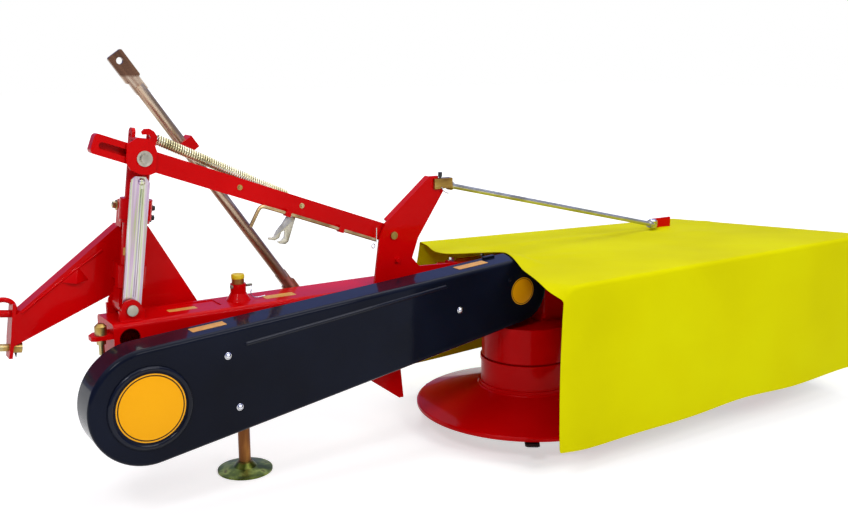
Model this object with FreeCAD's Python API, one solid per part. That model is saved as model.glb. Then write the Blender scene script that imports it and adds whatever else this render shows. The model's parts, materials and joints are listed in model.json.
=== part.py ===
"""Side-mounted two-drum rotary mower on a three-point hitch, parked on its stand.

Frame: millimetres, +Z up, +Y the way of travel, +X out to the mowing side.
The origin is the middle of the flat underside of the inner skid dish, on the
ground, on the axis of the inner drum.
"""
import FreeCAD, Part
import math
import os

os.makedirs("parts", exist_ok=True)

V = FreeCAD.Vector
UP = V(0, 0, 1)
FWD = V(0, 1, 0)
SIDE = V(1, 0, 0)

# ---------------------------------------------------------------- driving sizes
# drums
drum_spacing = 825.0
drum_radius = 160.0
drum_wall = 6.0
dish_radius = 390.0
dish_rim_z = 90.0
dish_lip = 13.0
dish_root_z = 150.0
dish_root_radius = 171.0
foot_ring_radius = 164.0
foot_ring_top_z = 166.0
top_ring_radius = 163.0
top_ring_height = 14.0
rotor_top_z = 256.0
collar_gap = 5.5
skirt_gap = 6.0
collar_top_z = 385.0
collar_step = 2.0
spindle_radius = 40.0
hub_wall = 20.0
web_drop = 14.0
carrier_z = 76.0
carrier_thick = 6.0
dish_overhang = 38.0
carrier_radius = dish_radius - dish_overhang
knife_count = 3
knife_width = 48.0
knife_beyond_dish = 22.0
knife_reach = dish_radius + knife_beyond_dish
knife_back = 34.0
knife_pin_inset = 60.0
knife_pin_circle = dish_radius - knife_pin_inset
knife_pin_radius = 12.0
knife_pin_drop = 7.0
knife_thick = 4.0
knife_gap = 4.0
knife_first_deg = 234.6
skid_radius = 260.0
skid_flat_radius = 120.0
skid_rise = 44.0
skid_thick = 5.0
skid_pin_radius = 20.0
skid_boss_wall = 14.0

# main arm
arm_left_x = -1430.0
arm_right_x = -235.0
arm_near_y = 72.0
arm_far_y = 232.0
arm_top_z = 560.0
arm_height = 130.0
arm_wall = 8.0
arm_corner = 14.0
ear_near_y = 95.0
end_hole_radius = 30.0
panel_left_x = -1250.0
panel_right_x = -1085.0
panel_depth = 3.0
flange_thick = 12.0
guard_tab_xs = (-1120.0, -620.0)
tension_x = -1459.0
tension_y = 97.0
tension_radius = 8.0
shelf_z = 519.0
shelf_thick = 12.0

# belt guard
guard_near_y = -95.0
guard_far_y = 10.0
guard_skin = 3.0
guard_edge = 14.0
big_end_x = -1390.0
big_end_z = 358.0
big_end_radius = 168.0
small_end_x = -103.0
small_end_z = 517.0
small_end_radius = 112.0
boss_radius = 119.0
boss_height = 7.0
boss_face_radius = 104.0
rib_left = (-1104.0, 494.5)
rib_right = (-415.7, 572.4)
rib_radius = 7.0
rib_height = 3.0
dimple_place = (-153.6, 562.6)
dimple_radius = 11.0
back_plate_thick = 4.0

# gear train cases
case_bottom_z = 400.0
case_top_z = 575.0
case_right_x = 130.0
beam_half_width = 75.0
beam_top_z = 540.0
beam_wall = 8.0
outer_case_half = 90.0
outer_case_top_z = 560.0

# power input
input_radius = 17.45
input_end_y = 300.0
input_housing_radius = 52.0

# mast and its hinge
hinge_x = -1368.0
hinge_z = 590.0
lean_deg = 7.65
hinge_bolt_radius = 12.0
barrel_radius = 24.0
mast_y = 172.0
mast_offset = 14.0
mast_radius = 33.0
mast_wall = 6.0
mast_top = 430.0
low_shoulder_up = 62.0
high_shoulder_up = 252.0
ear_thick = 12.0
ear_radius = 30.0
top_pin_up = 433.0
top_pin_radius = 7.5
lug_top = 513.0
right_lug_lower = 10.0
lug_half_depth = 17.0
head_cheek_thick = 5.0
lug_gap = 42.0
lug_thick = 10.0
top_link_radius = 9.75

# headstock
hitch_spacing = 683.0
hitch_middle = 29.5
hitch_gap = 50.0
hitch_pin_radius = 11.0
hitch_pin_up = -147.0
clevis_plate = 10.0
pin_collar_radius = 16.0
pin_collar_long = 26.0
clevis_top_left = -16.0
clevis_top_right = -30.0
head_near_y = 258.0
head_depth = 52.0
collar_radius = 46.0
low_collar_radius = 43.0
channel_half = 27.0
channel_shift = 4.0
head_plate = 8.0

# top bar
bar_pivot_x = -503.0
bar_near_y = 92.0
bar_thick = 32.0
bar_depth = 57.0
slot_length = 118.0
slot_width = 20.0
slot_end_wall = 18.0
slot_depth = 24.0
bar_end_round = 12.0
bar_web = 8.0
bar_pin_radius = 10.0
spring_radius = 16.0
spring_start = 36.0
spring_end = 474.0
spring_start_up = 33.0
spring_end_up = -8.5
spring_behind = 25.0
claw_thick = 8.0
fork_x = -869.0
fork_z = 830.0
latch_rod_drop = 3.0
latch_rod_radius = 6.0
latch_left = -465.0
latch_right = -58.0
latch_clip_at = (-389.0, -194.0)
trough_start = 150.0
trough_end = 500.0

# upright bracket and the thin brace from its top
bar_pivot_z = 723.0
cheek_thick = 8.0
bracket_top_x = -307.0
cheek_gap = 5.0
fold_wide = 22.0
fold_start = 0.06
brace_left_x = -323.0
brace_left_z = 881.0
brace_right = (842.0, 225.0, 613.0)
brace_radius = 9.5
brace_tab_x0 = 862.0
brace_tab_x1 = 962.0
brace_tab_top = 632.0
brace_tab_y = 240.0
fork_thick = 9.0
fork_height = 34.0
fork_long = 72.0
fork_neck = 12.0

# stay rod
stay_x = -774.0
stay_z = 520.0
stay_y = 244.0
stay_top_x = -1316.0
stay_top_z = 1285.0
stay_radius = 17.0
stay_wall = 4.0
stay_flat_half = 24.5
stay_flat_long = 66.0
stay_eye_end = 25.0
stay_top_hole = 10.0
stay_flat_thick = 12.0
stay_collar_at = 606.0
stay_collar_long = 40.0
stay_collar_half = 25.0
stay_collar_aside = 7.0
stay_bolt_radius = 8.0
stay_boss_radius = 18.0

# keel plate under the arm
keel_right_x = -484.0
keel_foot_z = 152.0
keel_inset = 28.0
keel_thick = 8.0

# stand
stand_x = -1018.0
stand_y = 158.0
stand_radius = 19.0
stand_top_z = 640.0
foot_radius = 87.0
sleeve_radius = 24.0
sleeve_top_z = 612.0

# hood
hood_left_x = -273.0
hood_right_x = 1240.0
hood_near_y = -500.0
hood_far_y = 480.0
hood_near_left_z = 634.0
hood_near_right_z = 646.0
hood_far_left_z = 611.0
hood_far_right_z = 572.0
hood_hem_z = 105.0
cloth_thick = 5.0
frame_tube = 12.5
cross_bar_xs = (205.0, 905.0)
rear_rail_x = -205.0
front_rail_x = -100.0

# clearances
run_gap = 0.1
free_gap = 0.3
side_gap = 1.0


# ---------------------------------------------------------------- helpers
def box(x0, x1, y0, y1, z0, z1):
    return Part.makeBox(x1 - x0, y1 - y0, z1 - z0, V(x0, y0, z0))


def rod(start, end, radius):
    run = end - start
    return Part.makeCylinder(radius, run.Length, start, run)


def across(x, z, y0, y1, radius):
    """A round bar along the way of travel."""
    return Part.makeCylinder(radius, y1 - y0, V(x, y0, z), FWD)


def plate_xz(points, y0, y1):
    """A flat plate standing in an X-Z plane, from its outline."""
    ring = [V(x, y0, z) for x, z in points]
    return Part.Face(Part.makePolygon(ring + ring[:1])).extrude(V(0, y1 - y0, 0))


def slab_xy(points, z0, z1):
    ring = [V(x, y, z0) for x, y in points]
    return Part.Face(Part.makePolygon(ring + ring[:1])).extrude(V(0, 0, z1 - z0))


def turned(profile, x, y=0.0):
    """A body of revolution about the vertical through (x, y)."""
    ring = [V(x + r, y, z) for r, z in profile]
    face = Part.Face(Part.makePolygon(ring + ring[:1]))
    return face.revolve(V(x, y, 0), UP, 360)


def fuse(shapes):
    return shapes[0].multiFuse(shapes[1:]).removeSplitter()


def round_edges(shape, radius, wanted):
    edges = [e for e in shape.Edges if wanted(e)]
    return shape.makeFillet(radius, edges) if edges else shape


def is_along(edge, way):
    if edge.Curve.TypeId != "Part::GeomLine":
        return False
    run = edge.Vertexes[-1].Point - edge.Vertexes[0].Point
    return abs(run.normalize().dot(way)) > 0.999


def at_y(edge, y):
    return all(abs(v.Y - y) < 0.01 for v in edge.Vertexes)


def stadium(x1, z1, r1, x2, z2, r2, y):
    """Outline of two unequal round ends joined by their outer tangents."""
    span = math.hypot(x2 - x1, z2 - z1)
    heading = math.atan2(z2 - z1, x2 - x1)
    swing = math.acos((r1 - r2) / span)

    def at(x, z, r, angle):
        return V(x + r * math.cos(angle), y, z + r * math.sin(angle))

    up1, up2 = (at(x1, z1, r1, heading + swing), at(x2, z2, r2, heading + swing))
    low1, low2 = (at(x1, z1, r1, heading - swing), at(x2, z2, r2, heading - swing))
    left = Part.Arc(up1, at(x1, z1, r1, heading + math.pi), low1).toShape()
    right = Part.Arc(low2, at(x2, z2, r2, heading), up2).toShape()
    edges = [left, Part.makeLine(low1, low2), right, Part.makeLine(up2, up1)]
    return Part.Wire(edges)


def guard_blank(inset, y0, y1):
    wire = stadium(big_end_x, big_end_z, big_end_radius - inset,
                   small_end_x, small_end_z, small_end_radius - inset, y0)
    return Part.Face(wire).extrude(V(0, y1 - y0, 0))


def leaned(shape):
    """Takes a shape built on an upright mast to the mast's real lean."""
    shape.rotate(V(hinge_x, 0, hinge_z), FWD, lean_deg)
    return shape


def mast_point(across_x, up):
    """World X and Z of a point given beside and up the mast from its hinge."""
    lean = math.radians(lean_deg)
    x = hinge_x + across_x * math.cos(lean) + up * math.sin(lean)
    z = hinge_z - across_x * math.sin(lean) + up * math.cos(lean)
    return x, z


def save(name, *shapes):
    shape = shapes[0] if len(shapes) == 1 else Part.makeCompound(list(shapes))
    shape.exportStep("parts/" + name + ".step")
    print(name, len(shape.Solids), round(shape.Volume / 1000.0))


# ---------------------------------------------------------------- drums
def rotor(x):
    wall_in = drum_radius - drum_wall
    hub_out = spindle_radius + hub_wall
    bore = spindle_radius + run_gap
    web_z = rotor_top_z - web_drop
    carrier_top = carrier_z + carrier_thick
    lip_low = dish_rim_z - dish_lip
    profile = [
        (bore, carrier_z), (carrier_radius, carrier_z), (carrier_radius, carrier_top),
        (hub_out, carrier_top), (hub_out, web_z - drum_wall), (wall_in, web_z - drum_wall),
        (wall_in, dish_root_z - drum_wall), (dish_root_radius, dish_root_z - drum_wall),
        (dish_radius - 14.0, dish_rim_z - drum_wall), (dish_radius - 5.0, lip_low),
        (dish_radius, lip_low), (dish_radius, dish_rim_z - 3.0), (dish_radius - 5.0, dish_rim_z + 1.0),
        (dish_root_radius, dish_root_z), (dish_root_radius - 3.0, dish_root_z + 4.0),
        (foot_ring_radius, dish_root_z + 6.0), (foot_ring_radius, foot_ring_top_z),
        (drum_radius, foot_ring_top_z), (drum_radius, rotor_top_z - top_ring_height),
        (top_ring_radius, rotor_top_z - top_ring_height), (top_ring_radius, rotor_top_z),
        (wall_in, rotor_top_z), (wall_in, web_z), (bore, web_z),
    ]
    return turned(profile, x)


def knife(x, turn_deg):
    """One swinging knife with its holder pin, under the rim of the dish."""
    top = carrier_z - knife_gap
    half = knife_width / 2.0
    back = knife_pin_circle - knife_back
    bevel = 8.0
    outline = [(back, -half + bevel), (back + bevel, -half), (knife_reach - bevel, -half),
               (knife_reach, -half + bevel), (knife_reach, half - bevel), (knife_reach - bevel, half),
               (back + bevel, half), (back, half - bevel)]
    blade = slab_xy([(x + a, b) for a, b in outline], top - knife_thick, top)
    pin_low = V(x + knife_pin_circle, 0, top - knife_thick - knife_pin_drop)
    pin = rod(pin_low, V(x + knife_pin_circle, 0, carrier_z), knife_pin_radius)
    both = fuse([blade, pin])
    both.rotate(V(x, 0, 0), UP, turn_deg)
    return both


def knives(x, first_deg):
    step = 360.0 / knife_count
    return [knife(x, first_deg + step * i) for i in range(knife_count)]


def skid(x):
    bore = skid_pin_radius + run_gap
    boss = skid_pin_radius + skid_boss_wall
    boss_top = carrier_z - 8.0
    mid_radius = (skid_flat_radius + skid_radius) / 2.0
    mid_rise = skid_rise * 0.32
    floor = skid_thick + 3.0
    profile = [
        (0.0, 0.0), (skid_flat_radius, 0.0), (mid_radius, mid_rise),
        (skid_radius, skid_rise), (skid_radius, skid_rise + skid_thick),
        (mid_radius - 2.0, mid_rise + skid_thick), (skid_flat_radius, skid_thick),
        (boss, skid_thick), (boss, boss_top), (bore, boss_top), (bore, floor), (0.0, floor),
    ]
    return turned(profile, x)


def drum_collar(x):
    """The fixed upper collar of a drum, with the spindle that carries rotor and skid."""
    low = rotor_top_z + collar_gap
    outer = drum_radius - collar_step
    skirt_out = drum_radius - drum_wall - skirt_gap
    skirt_low = rotor_top_z - web_drop + skirt_gap
    profile = [
        (0.0, collar_top_z), (outer, collar_top_z), (outer, low),
        (skirt_out, low), (skirt_out, skirt_low), (skirt_out - 4.0, skirt_low),
        (skirt_out - 4.0, collar_top_z - 10.0), (spindle_radius + 12.0, collar_top_z - 10.0),
        (spindle_radius + 12.0, rotor_top_z - 6.0), (spindle_radius, rotor_top_z - 6.0),
        (spindle_radius, carrier_z + 4.0), (skid_pin_radius, carrier_z + 4.0),
        (skid_pin_radius, skid_thick + 6.0), (0.0, skid_thick + 6.0),
    ]
    return turned(profile, x)


# ---------------------------------------------------------------- fixed frame
def main_arm():
    low = arm_top_z - arm_height
    outer = box(arm_left_x, arm_right_x, arm_near_y, arm_far_y, low, arm_top_z)
    outer = round_edges(outer, arm_corner, lambda e: is_along(e, SIDE))
    inner = box(arm_left_x + arm_wall, arm_right_x - arm_wall, arm_near_y + arm_wall,
                arm_far_y - arm_wall, low + arm_wall, arm_top_z - arm_wall)
    shell = outer.cut(inner)
    hole = across(big_end_x + 6.0, arm_top_z - 46.0, arm_near_y - 1.0, arm_near_y + arm_wall + 1.0,
                  end_hole_radius)
    panel = box(panel_left_x, panel_right_x, arm_near_y + 56.0, arm_far_y - 26.0,
                arm_top_z - panel_depth, arm_top_z + 1.0)
    shell = shell.cut(hole).cut(panel)
    ears = [hinge_ear(ear_near_y), hinge_ear(arm_far_y - ear_thick - 1.0)]
    flange = box(arm_right_x - flange_thick, arm_right_x, arm_near_y - 14.0, arm_far_y + 14.0,
                 low - 6.0, arm_top_z + 6.0)
    tabs = [box(x - 20.0, x + 20.0, guard_far_y + back_plate_thick, arm_near_y + 4.0,
                arm_top_z - 63.0, arm_top_z - 57.0) for x in guard_tab_xs]
    boss_end = stay_y - stay_flat_thick / 2.0 - side_gap
    boss = across(stay_x, stay_z, arm_far_y - arm_wall, boss_end, stay_boss_radius)
    whole = fuse([shell, tension_shelf(), flange, boss] + ears + tabs)
    stand_foot, stand_head = V(stand_x, stand_y, low - 1.0), V(stand_x, stand_y, arm_top_z + 1.0)
    whole = whole.cut(rod(stand_foot, stand_head, sleeve_radius))
    whole = whole.cut(across(stay_x, stay_z, arm_far_y - arm_wall - 1.0, stay_y, stay_bolt_radius))
    return whole.cut(rod(V(tension_x, tension_y, low), V(tension_x, tension_y, arm_top_z), 8.3))


def tension_shelf():
    """The small shelf at the arm's outer left corner that carries the belt tension bolt."""
    left = tension_x - 31.0
    outline = [(arm_left_x, tension_y - 21.0), (arm_left_x, tension_y + 53.0),
               (tension_x - 15.0, tension_y + 37.0), (left, tension_y + 15.0), (left, tension_y - 13.0),
               (left + 10.0, tension_y - 21.0)]
    return slab_xy(outline, shelf_z, shelf_z + shelf_thick)


def stand_sleeve():
    low = arm_top_z - arm_height
    sleeve = rod(V(stand_x, stand_y, low - 12.0), V(stand_x, stand_y, sleeve_top_z), sleeve_radius)
    flare = Part.makeCone(sleeve_radius + 14.0, sleeve_radius, 24.0, V(stand_x, stand_y, arm_top_z))
    bore = rod(V(stand_x, stand_y, low - 20.0), V(stand_x, stand_y, sleeve_top_z + 5.0),
               stand_radius + free_gap)
    return sleeve.fuse(flare).cut(bore)


def hinge_ear(y):
    half = ear_radius + 6.0
    plate = box(hinge_x - half, hinge_x + half, y, y + ear_thick, arm_top_z - 4.0, hinge_z)
    head = across(hinge_x, hinge_z, y, y + ear_thick, ear_radius)
    bore = across(hinge_x, hinge_z, y - 1.0, y + ear_thick + 1.0, hinge_bolt_radius)
    return plate.fuse(head).cut(bore)


def hinge_bolt():
    y0 = ear_near_y
    y1 = arm_far_y - 1.0
    shank = across(hinge_x, hinge_z, y0, y1, hinge_bolt_radius)
    head = across(hinge_x, hinge_z, y0 - 9.0, y0, 16.0)
    nut = across(hinge_x, hinge_z, y1, y1 + 12.0, 18.0)
    return fuse([shank, head, nut])


def stay_bolt():
    y0 = arm_far_y - arm_wall
    y1 = stay_y + stay_flat_thick / 2.0 + side_gap
    shank = across(stay_x, stay_z, y0, y1, stay_bolt_radius)
    washer = across(stay_x, stay_z, y1, y1 + 3.0, stay_boss_radius)
    nut = across(stay_x, stay_z, y1 + 3.0, y1 + 13.0, stay_bolt_radius + 6.0)
    return fuse([shank, washer, nut])


def belt_guard():
    skin = guard_blank(0.0, guard_near_y, guard_far_y)
    skin = round_edges(skin, guard_edge, lambda e: at_y(e, guard_near_y))
    core = guard_blank(guard_skin, guard_near_y + guard_skin, guard_far_y + 1.0)
    core = round_edges(core, guard_edge - guard_skin, lambda e: at_y(e, guard_near_y + guard_skin))
    ring = across(big_end_x, big_end_z, guard_near_y - boss_height, guard_near_y + 1.0, boss_radius)
    face_y = guard_near_y - boss_height
    ring = round_edges(ring, 5.0, lambda e: at_y(e, face_y))
    dish = across(big_end_x, big_end_z, face_y - 1.0, face_y + 2.0, boss_face_radius)
    rib_y = guard_near_y + rib_radius - rib_height
    ends = [V(x, rib_y, z) for x, z in (rib_left, rib_right)]
    rib = [rod(ends[0], ends[1], rib_radius)] + [Part.makeSphere(rib_radius, end) for end in ends]
    dimple_x, dimple_z = dimple_place
    dimple = Part.makeSphere(dimple_radius, V(dimple_x, guard_near_y + dimple_radius - 3.0, dimple_z))
    return fuse([skin, ring, dimple] + rib).cut(core).cut(dish)


def guard_back_plate():
    plate = guard_blank(0.0, guard_far_y, guard_far_y + back_plate_thick)
    back = guard_far_y + back_plate_thick
    return plate.cut(across(big_end_x, big_end_z, guard_far_y - 1.0, back + 1.0, 24.0))


def gearcase():
    y0 = -beam_half_width
    near = arm_near_y
    outline = [(arm_right_x, near), (15.0, near), (15.0, y0), (case_right_x, y0), (case_right_x, arm_far_y),
               (arm_right_x, arm_far_y)]
    body = slab_xy(outline, case_bottom_z, case_top_z)
    body = round_edges(body, 12.0, lambda e: is_along(e, UP))
    foot = box(15.0, case_right_x - 12.0, y0 + 12.0, 70.0, collar_top_z, case_bottom_z)
    boss = across(small_end_x, small_end_z, guard_far_y + back_plate_thick, near + 5.0, 46.0)
    lid = box(-205.0, 100.0, arm_near_y + 20.0, arm_far_y - 20.0, case_top_z, case_top_z + 9.0)
    return fuse([body, foot, boss, lid])


def gear_beam():
    x1 = drum_spacing - outer_case_half
    outer = box(case_right_x, x1, -beam_half_width, beam_half_width, case_bottom_z, beam_top_z)
    outer = round_edges(outer, 12.0, lambda e: is_along(e, SIDE))
    inner = box(case_right_x + beam_wall, x1 - beam_wall, -beam_half_width + beam_wall,
                beam_half_width - beam_wall, case_bottom_z + beam_wall, beam_top_z - beam_wall)
    return outer.cut(inner)


def outer_case():
    r = outer_case_half
    block = box(drum_spacing - r, drum_spacing + r, -r, r, case_bottom_z, outer_case_top_z)
    block = round_edges(block, 30.0, lambda e: is_along(e, UP))
    foot = rod(V(drum_spacing, 0, collar_top_z), V(drum_spacing, 0, case_bottom_z), r - 12.0)
    return block.fuse(foot)


def input_housing():
    axis = (big_end_x, big_end_z)
    y0 = guard_far_y + back_plate_thick
    y1 = arm_far_y - 22.0
    barrel = across(*axis, y0, y1, input_housing_radius)
    flange = across(*axis, y0, y0 + 12.0, 82.0)
    low = arm_top_z - arm_height
    hangers = [box(big_end_x - 40.0, big_end_x + 60.0, y, y + 12.0, big_end_z, low)
               for y in (arm_near_y + 16.0, arm_far_y - 44.0)]
    body = fuse([barrel, flange] + hangers)
    return body.cut(across(*axis, y0 - 1.0, y1 + 1.0, input_radius + run_gap))


def input_shaft():
    shaft = across(big_end_x, big_end_z, guard_far_y - 20.0, input_end_y, input_radius)
    y1 = arm_far_y - 22.0 + side_gap
    collar = across(big_end_x, big_end_z, y1, y1 + 14.0, input_radius + 9.0)
    body = shaft.fuse(collar)
    keys = []
    for i in range(6):
        a = math.radians(60.0 * i)
        x = big_end_x + math.cos(a) * (input_radius + 2.2)
        z = big_end_z + math.sin(a) * (input_radius + 2.2)
        keys.append(across(x, z, y1 + 24.0, input_end_y + 1.0, 4.6))
    return body.cut(Part.makeCompound(keys))


def tension_bolt():
    x, y = tension_x, tension_y
    top = shelf_z + shelf_thick + free_gap
    shank = rod(V(x, y, shelf_z - 45.0), V(x, y, top + 17.0), tension_radius)
    cap = rod(V(x, y, top), V(x, y, top + 25.0), 17.0)
    dome = Part.makeCone(17.0, 9.0, 8.0, V(x, y, top + 25.0))
    nut = rod(V(x, y, shelf_z - 14.0), V(x, y, shelf_z - free_gap), 13.0)
    return fuse([shank, cap, dome, nut])


def bracket_outline():
    return [(-578.0, arm_top_z), (-556.0, 717.0), (-533.0, 766.0), (-361.0, 907.0), (-329.0, 907.0),
            (-307.0, 854.0), (-407.0, 706.0), (-431.0, 640.0), (-402.0, 609.0), (-247.5, 602.0),
            (-247.5, arm_top_z)]


def far_cheek_outline():
    return [(-530.0, arm_top_z), (-524.0, 728.0), (-503.0, 750.0), (-470.0, 750.0), (-416.0, 700.0),
            (-436.0, 641.0), (-410.0, 608.0), (-410.0, arm_top_z)]


def upright_bracket():
    near = bar_near_y - cheek_gap - cheek_thick
    inside = near + cheek_thick
    far = bar_near_y + bar_thick + cheek_gap
    cheeks = [plate_xz(bracket_outline(), near, inside),
              plate_xz(far_cheek_outline(), far, far + cheek_thick)]
    web = plate_xz([(-307.0, 854.0), (-407.0, 706.0), (-414.0, 711.0), (-316.0, 860.0)], inside, far)
    foot = plate_xz([(-431.0, 640.0), (-402.0, 609.0), (-408.0, 604.0), (-438.0, 636.0)], inside, far)
    foot_x, foot_z = bracket_outline()[2]
    head_x, head_z = bracket_outline()[3]
    start = (foot_x + fold_start * (head_x - foot_x), foot_z + fold_start * (head_z - foot_z))
    fold = plate_xz([start, (head_x, head_z), (head_x + 5.0, head_z - 6.0), (start[0] + 5.0, start[1] - 6.0)],
                    inside, inside + fold_wide)
    whole = fuse(cheeks + [web, foot, fold])
    x, z = bar_pivot()
    return whole.cut(across(x, z, near - 1.0, far + cheek_thick + 1.0, bar_pin_radius))


def bar_bolt():
    x, z = bar_pivot()
    near = bar_near_y - cheek_gap - cheek_thick
    far = bar_near_y + bar_thick + cheek_gap + cheek_thick
    shank = across(x, z, near, far, bar_pin_radius)
    head = across(x, z, near - 6.0, near, bar_pin_radius + 2.5)
    nut = across(x, z, far, far + 10.0, bar_pin_radius + 5.0)
    return fuse([shank, head, nut])


def keel_plate():
    """The red three-cornered skid plate under the arm's outer end."""
    low = arm_top_z - arm_height
    outline = [(keel_right_x - 190.0, low), (keel_right_x, low), (keel_right_x + 30.0, keel_foot_z),
               (keel_right_x + 13.0, keel_foot_z), (keel_right_x - 96.0, keel_foot_z + 80.0)]
    return plate_xz(outline, arm_near_y + keel_inset, arm_near_y + keel_inset + keel_thick)


# ---------------------------------------------------------------- hood
def hood_corners():
    """Top corners of the hood: near left, near right, far right, far left."""
    return [V(hood_left_x, hood_near_y, hood_near_left_z), V(hood_right_x, hood_near_y, hood_near_right_z),
            V(hood_right_x, hood_far_y, hood_far_right_z), V(hood_left_x, hood_far_y, hood_far_left_z)]


def top_plane(near, x, y):
    """Height of one of the two flat halves of the top, which meet in a ridge across it."""
    a, b, c, d = hood_corners()
    first = a if near else c
    one, two = b - first, d - first
    normal = one.cross(two)
    return first.z - (normal.x * (x - first.x) + normal.y * (y - first.y)) / normal.z


def sheet_top(x, y):
    return min(top_plane(True, x, y), top_plane(False, x, y))


def hood_block(inset, lower, bottom):
    x0, x1 = hood_left_x + inset, hood_right_x - inset
    y0, y1 = hood_near_y + inset, hood_far_y - inset
    block = box(x0, x1, y0, y1, bottom, hood_near_right_z + 20.0)
    reach = 60.0
    for near in (True, False):
        corners = [V(x, y, top_plane(near, x, y) - lower) for x, y in
                   ((x0 - reach, y0 - reach), (x1 + reach, y0 - reach), (x1 + reach, y1 + reach),
                    (x0 - reach, y1 + reach))]
        block = block.cut(Part.Face(Part.makePolygon(corners + corners[:1])).extrude(V(0, 0, 400.0)))
    return block


def hood_cloth():
    """The cover: a top and three skirts, open below and towards the belt guard."""
    cloth = hood_block(0.0, 0.0, hood_hem_z).cut(hood_block(cloth_thick, cloth_thick, hood_hem_z - 1.0))
    left_wall = box(hood_left_x - 1.0, hood_left_x + cloth_thick, hood_near_y + cloth_thick,
                    hood_far_y - cloth_thick, 0.0, 700.0)
    round_guard = box(hood_left_x - 1.0, 24.0, guard_near_y - 22.0, arm_far_y + 16.0, 0.0, 700.0)
    front_end = box(hood_left_x - 1.0, -150.0, arm_far_y, hood_far_y + 1.0, 0.0, 700.0)
    end_x, end_y, end_z = brace_right
    slot = box(end_x - 24.0, brace_tab_x1 + 7.0, end_y - 20.0, brace_tab_y + 16.0, end_z - 100.0, end_z + 100.0)
    return cloth.cut(left_wall).cut(round_guard).cut(front_end).cut(slot)


def frame_run(x0, y0, x1, y1):
    drop = cloth_thick + free_gap + frame_tube + 0.5
    start = V(x0, y0, sheet_top(x0, y0) - drop)
    end = V(x1, y1, sheet_top(x1, y1) - drop)
    ball0 = Part.makeSphere(frame_tube, start)
    ball1 = Part.makeSphere(frame_tube, end)
    return [rod(start, end, frame_tube), ball0, ball1]


def hood_frame():
    inset = cloth_thick + frame_tube + 1.0
    near, far = hood_near_y + inset, hood_far_y - inset
    right = hood_right_x - inset
    runs = frame_run(rear_rail_x, near, right, near) + frame_run(front_rail_x, far, right, far)
    runs += frame_run(right, near, right, far)
    for x in cross_bar_xs:
        runs += frame_run(x, near, x, far)
    low_z = sheet_top(cross_bar_xs[0], 0.0) - cloth_thick - frame_tube
    runs.append(box(cross_bar_xs[0] - 20.0, cross_bar_xs[0] + 20.0, -40.0, 40.0, beam_top_z, low_z))
    runs.append(box(cross_bar_xs[1] - 40.0, cross_bar_xs[1], -40.0, 40.0, outer_case_top_z, low_z))
    runs.append(box(brace_tab_x0, brace_tab_x1, brace_tab_y, brace_tab_y + 8.0, brace_tab_top - 56.0,
                    brace_tab_top))
    return fuse(runs)


def brace_line():
    """Start beside the bracket's near cheek, and the heading of the brace."""
    mid_y = bar_near_y - cheek_gap - cheek_thick / 2.0
    start = V(brace_left_x, mid_y, brace_left_z)
    return start, (V(*brace_right) - start).normalize()


def brace():
    """The thin stay from the top of the upright bracket to the hood's cross bar."""
    start, way = brace_line()
    end = V(*brace_right)
    near = bar_near_y - cheek_gap - cheek_thick
    drop = fork_height / 2.0
    x0, x1 = start.x - 24.0, start.x - 24.0 + fork_long
    legs = [box(x0, x1, near - free_gap - fork_thick, near - free_gap, start.z - drop, start.z + drop),
            box(x0, x1, near + cheek_thick + free_gap, near + cheek_thick + free_gap + fork_thick,
                start.z - drop, start.z + drop)]
    root = box(bracket_top_x + 2.0, x1, near - free_gap - fork_thick,
               near + cheek_thick + free_gap + fork_thick, start.z - drop, start.z + drop)
    neck = rod(start + way * (x1 - start.x - 4.0), start + way * (x1 - start.x + fork_neck), drop - 2.0)
    pipe = rod(start + way * (x1 - start.x), end, brace_radius)
    tail = rod(end - way * 24.0, end + way * 6.0, brace_radius + 6.0)
    right = across(end.x, end.z, end.y - 6.0, brace_tab_y, brace_radius + 4.0)
    flat = box(end.x, brace_tab_x0 + 12.0, brace_tab_y - 12.0, brace_tab_y, end.z - 12.0, end.z + 12.0)
    return fuse(legs + [root, neck, pipe, tail, right, flat])


def brace_knob():
    """The black grip on top of the fork's locking pin."""
    start, way = brace_line()
    y = start.y - cheek_thick / 2.0 - free_gap - fork_thick / 2.0
    z = start.z + fork_height / 2.0
    stem = rod(V(start.x, y, z), V(start.x, y, z + 7.0), 4.0)
    return fuse([stem, rod(V(start.x, y, z + 6.0), V(start.x, y, z + 21.0), 7.0)])


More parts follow.
